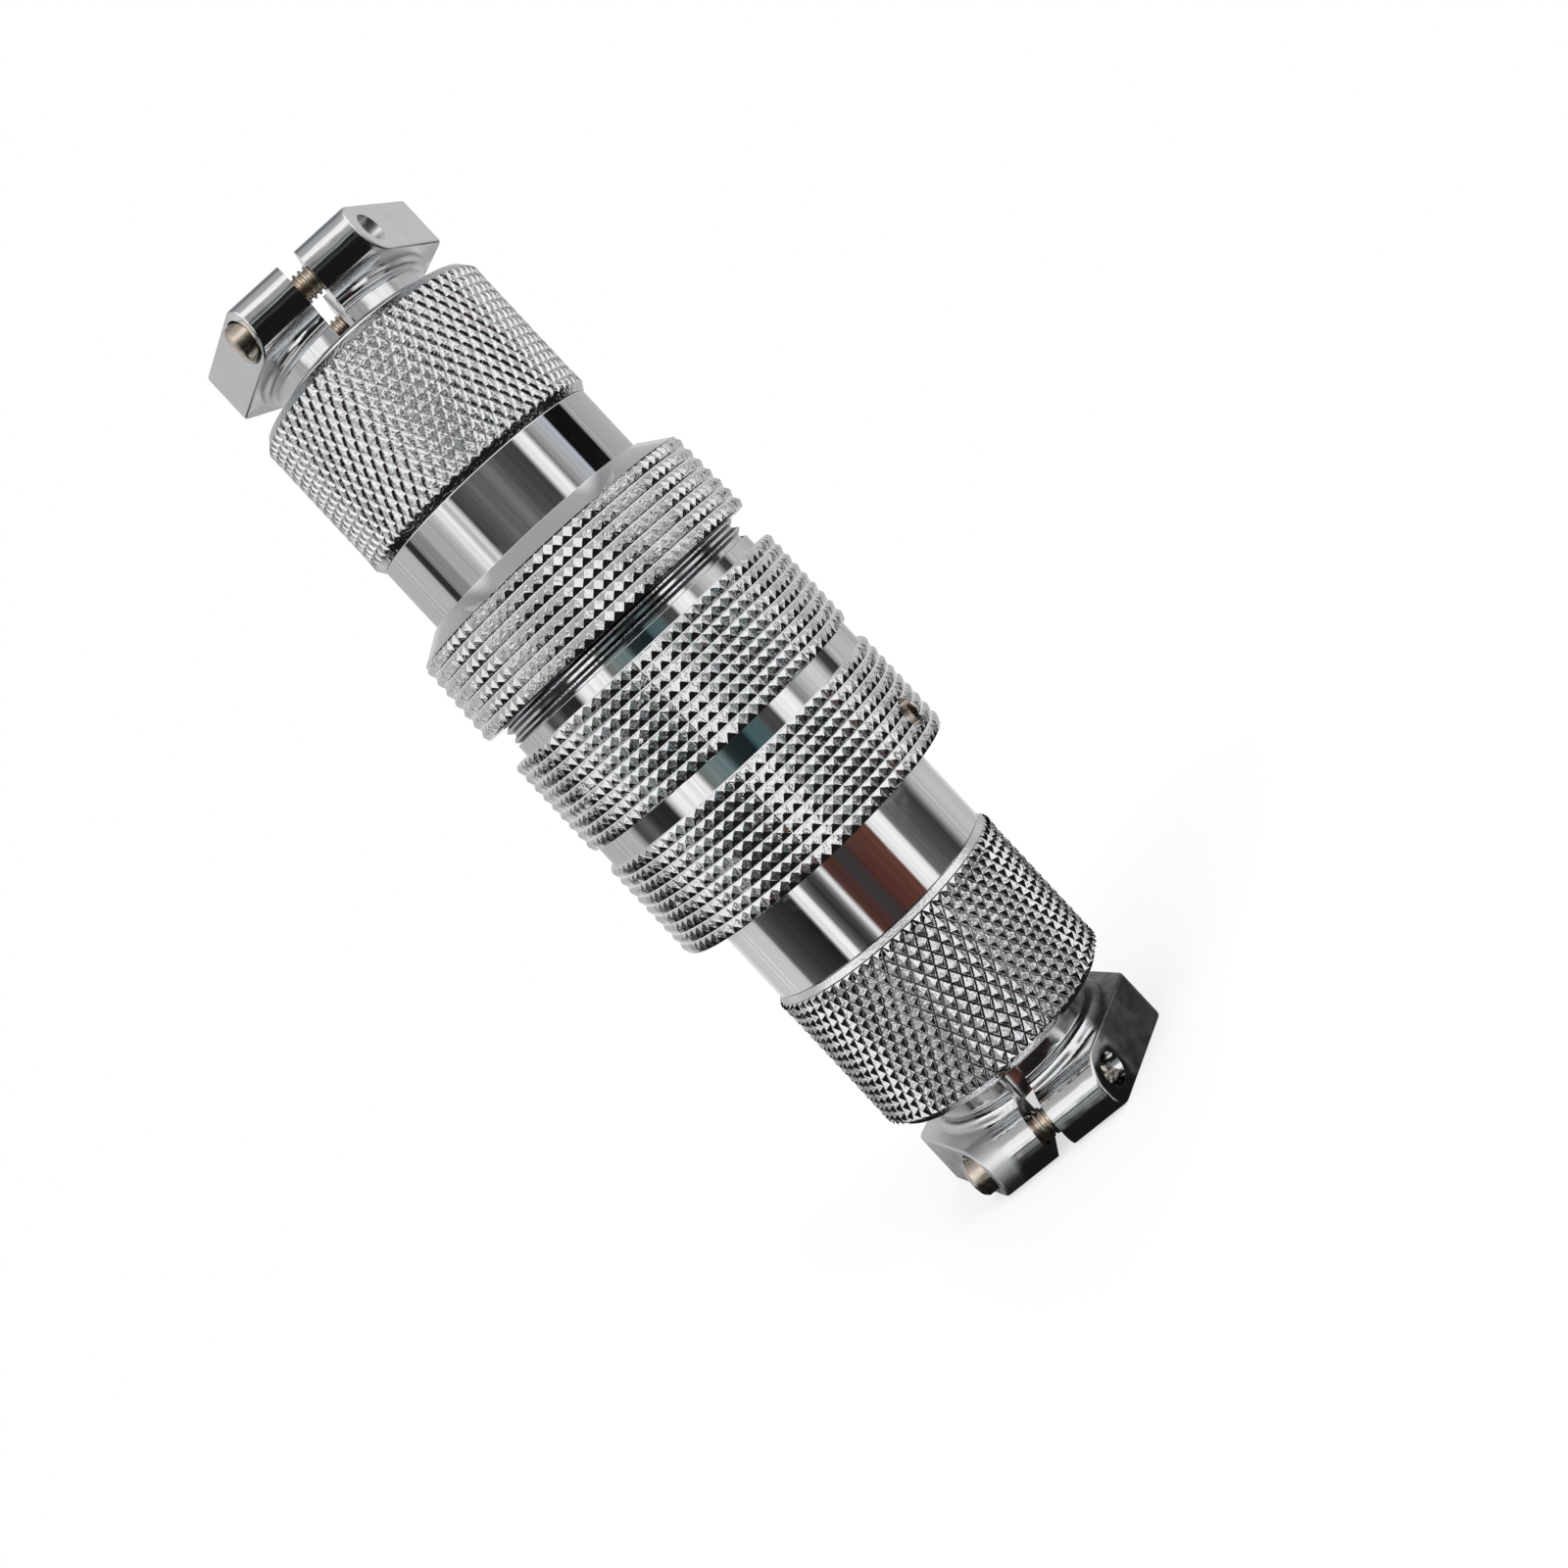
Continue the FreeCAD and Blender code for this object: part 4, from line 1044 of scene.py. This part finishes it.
def makeScrew():
    # drawn with its head up and the seat at height 0
    top, dome, wide = screw["headHeight"], screw["dome"], screw["headRadius"]
    core, length = screw["coreRadius"], screw["length"]
    threadFoot = screw["point"] - length
    profile = [(0, top)]
    profile += [(wide * across, top - dome * down) for across, down in screw["crown"]]
    profile += [(wide, top - dome), (wide, 0), (core, 0), (core, threadFoot), (screw["pointRadius"], -length),
                (0, -length)]
    bm = bmesh.new()
    corners = [bm.verts.new((radius, 0, height)) for radius, height in profile]
    for a, b in zip(corners, corners[1:]):
        bm.edges.new((a, b))
    roundOff(bm, [corners[4]], screw["headRound"], 3, "VERTICES")
    bmesh.ops.spin(bm, geom=bm.verts[:] + bm.edges[:], cent=(0, 0, 0), axis=(0, 0, 1), angle=fullTurn,
                   steps=screw["steps"], use_merge=True)
    weld(bm)
    # cross recess: cut its outline into the dome, then sink what lies inside
    half, reach = screw["recessHalf"], screw["recess"]
    for offset in (-reach, -half, half, reach):
        for axis in (Vector((1, 0, 0)), Vector((0, 1, 0))):
            crown = [face for face in bm.faces if face.calc_center_median().z > top - dome]
            around = {item for face in crown for item in (face, *face.edges, *face.verts)}
            bmesh.ops.bisect_plane(bm, geom=list(around), plane_co=axis * offset, plane_no=axis, dist=1e-5)
    cross = []
    for face in bm.faces:
        middle = face.calc_center_median()
        if middle.z > top - dome and face.normal.z > 0.3:
            x, y = abs(middle.x), abs(middle.y)
            if (x < half and y < reach) or (y < half and x < reach):
                cross.append(face)
    floor = bmesh.ops.extrude_face_region(bm, geom=cross)["geom"]
    bmesh.ops.delete(bm, geom=cross, context="FACES_ONLY")
    sunk = [v for v in floor if isinstance(v, bmesh.types.BMVert)]
    bmesh.ops.scale(bm, vec=(screw["recessTaper"], screw["recessTaper"], 1), verts=sunk)
    bmesh.ops.translate(bm, vec=(0, 0, -screw["recessDepth"]), verts=sunk)
    bmesh.ops.rotate(bm, cent=(0, 0, 0), matrix=Matrix.Rotation(math.radians(screw["recessTurn"]), 3, "Z"),
                     verts=bm.verts)
    turns = (length - 2 * screw["point"]) / screw["thread"]["pitch"]
    addThread(bm, threadFoot, turns, screw["radius"], screw["thread"])
    softEdges(bm, 35)
    return bm


def placeScrew(bm, node, side, turn):
    # its axis lies across the clamp, head on the -X jaw
    low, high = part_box(node)
    seat = Matrix.Translation((-clamp["seat"], side * clamp["screwOffset"], (low.z + high.z) / 2 / mm))
    place = Matrix.Rotation(math.radians(turn), 4, "Z") @ seat @ Matrix.Rotation(math.radians(-90), 4, "Y")
    bmesh.ops.transform(bm, matrix=place, verts=bm.verts)
    return bm


for number, side in ((1, -1), (2, 1)):
    for half in ("plug", "receptacle"):
        node = "%s_clamp_screw_%d" % (half, number)
        placed = placeScrew(makeScrew(), node, side, clamp[half + "Turn"])
        finishPiece("%sClampScrew%d" % (half, number), placed, half + "_clamp", [node], [screwFinish])


# CAD nodes that stay as they are, with their own finishes

keptNodes = {
    "ring_set_screw": screwFinish,
    "nut_snap_ring": springFinish,
    "pin_retaining_ring": springFinish,
    "socket_retaining_ring": springFinish,
    "pin_insulator": insulatorFinish,
    "socket_insulator": insulatorFinish,
}
for number in range(1, 5):
    keptNodes["contact_pin_%d" % number] = contactFinish
    keptNodes["contact_socket_%d" % number] = contactFinish
for name, finish in keptNodes.items():
    for place in nodes[name].material_slots:
        place.material = finish
print("inner nodes finished:", len(keptNodes))
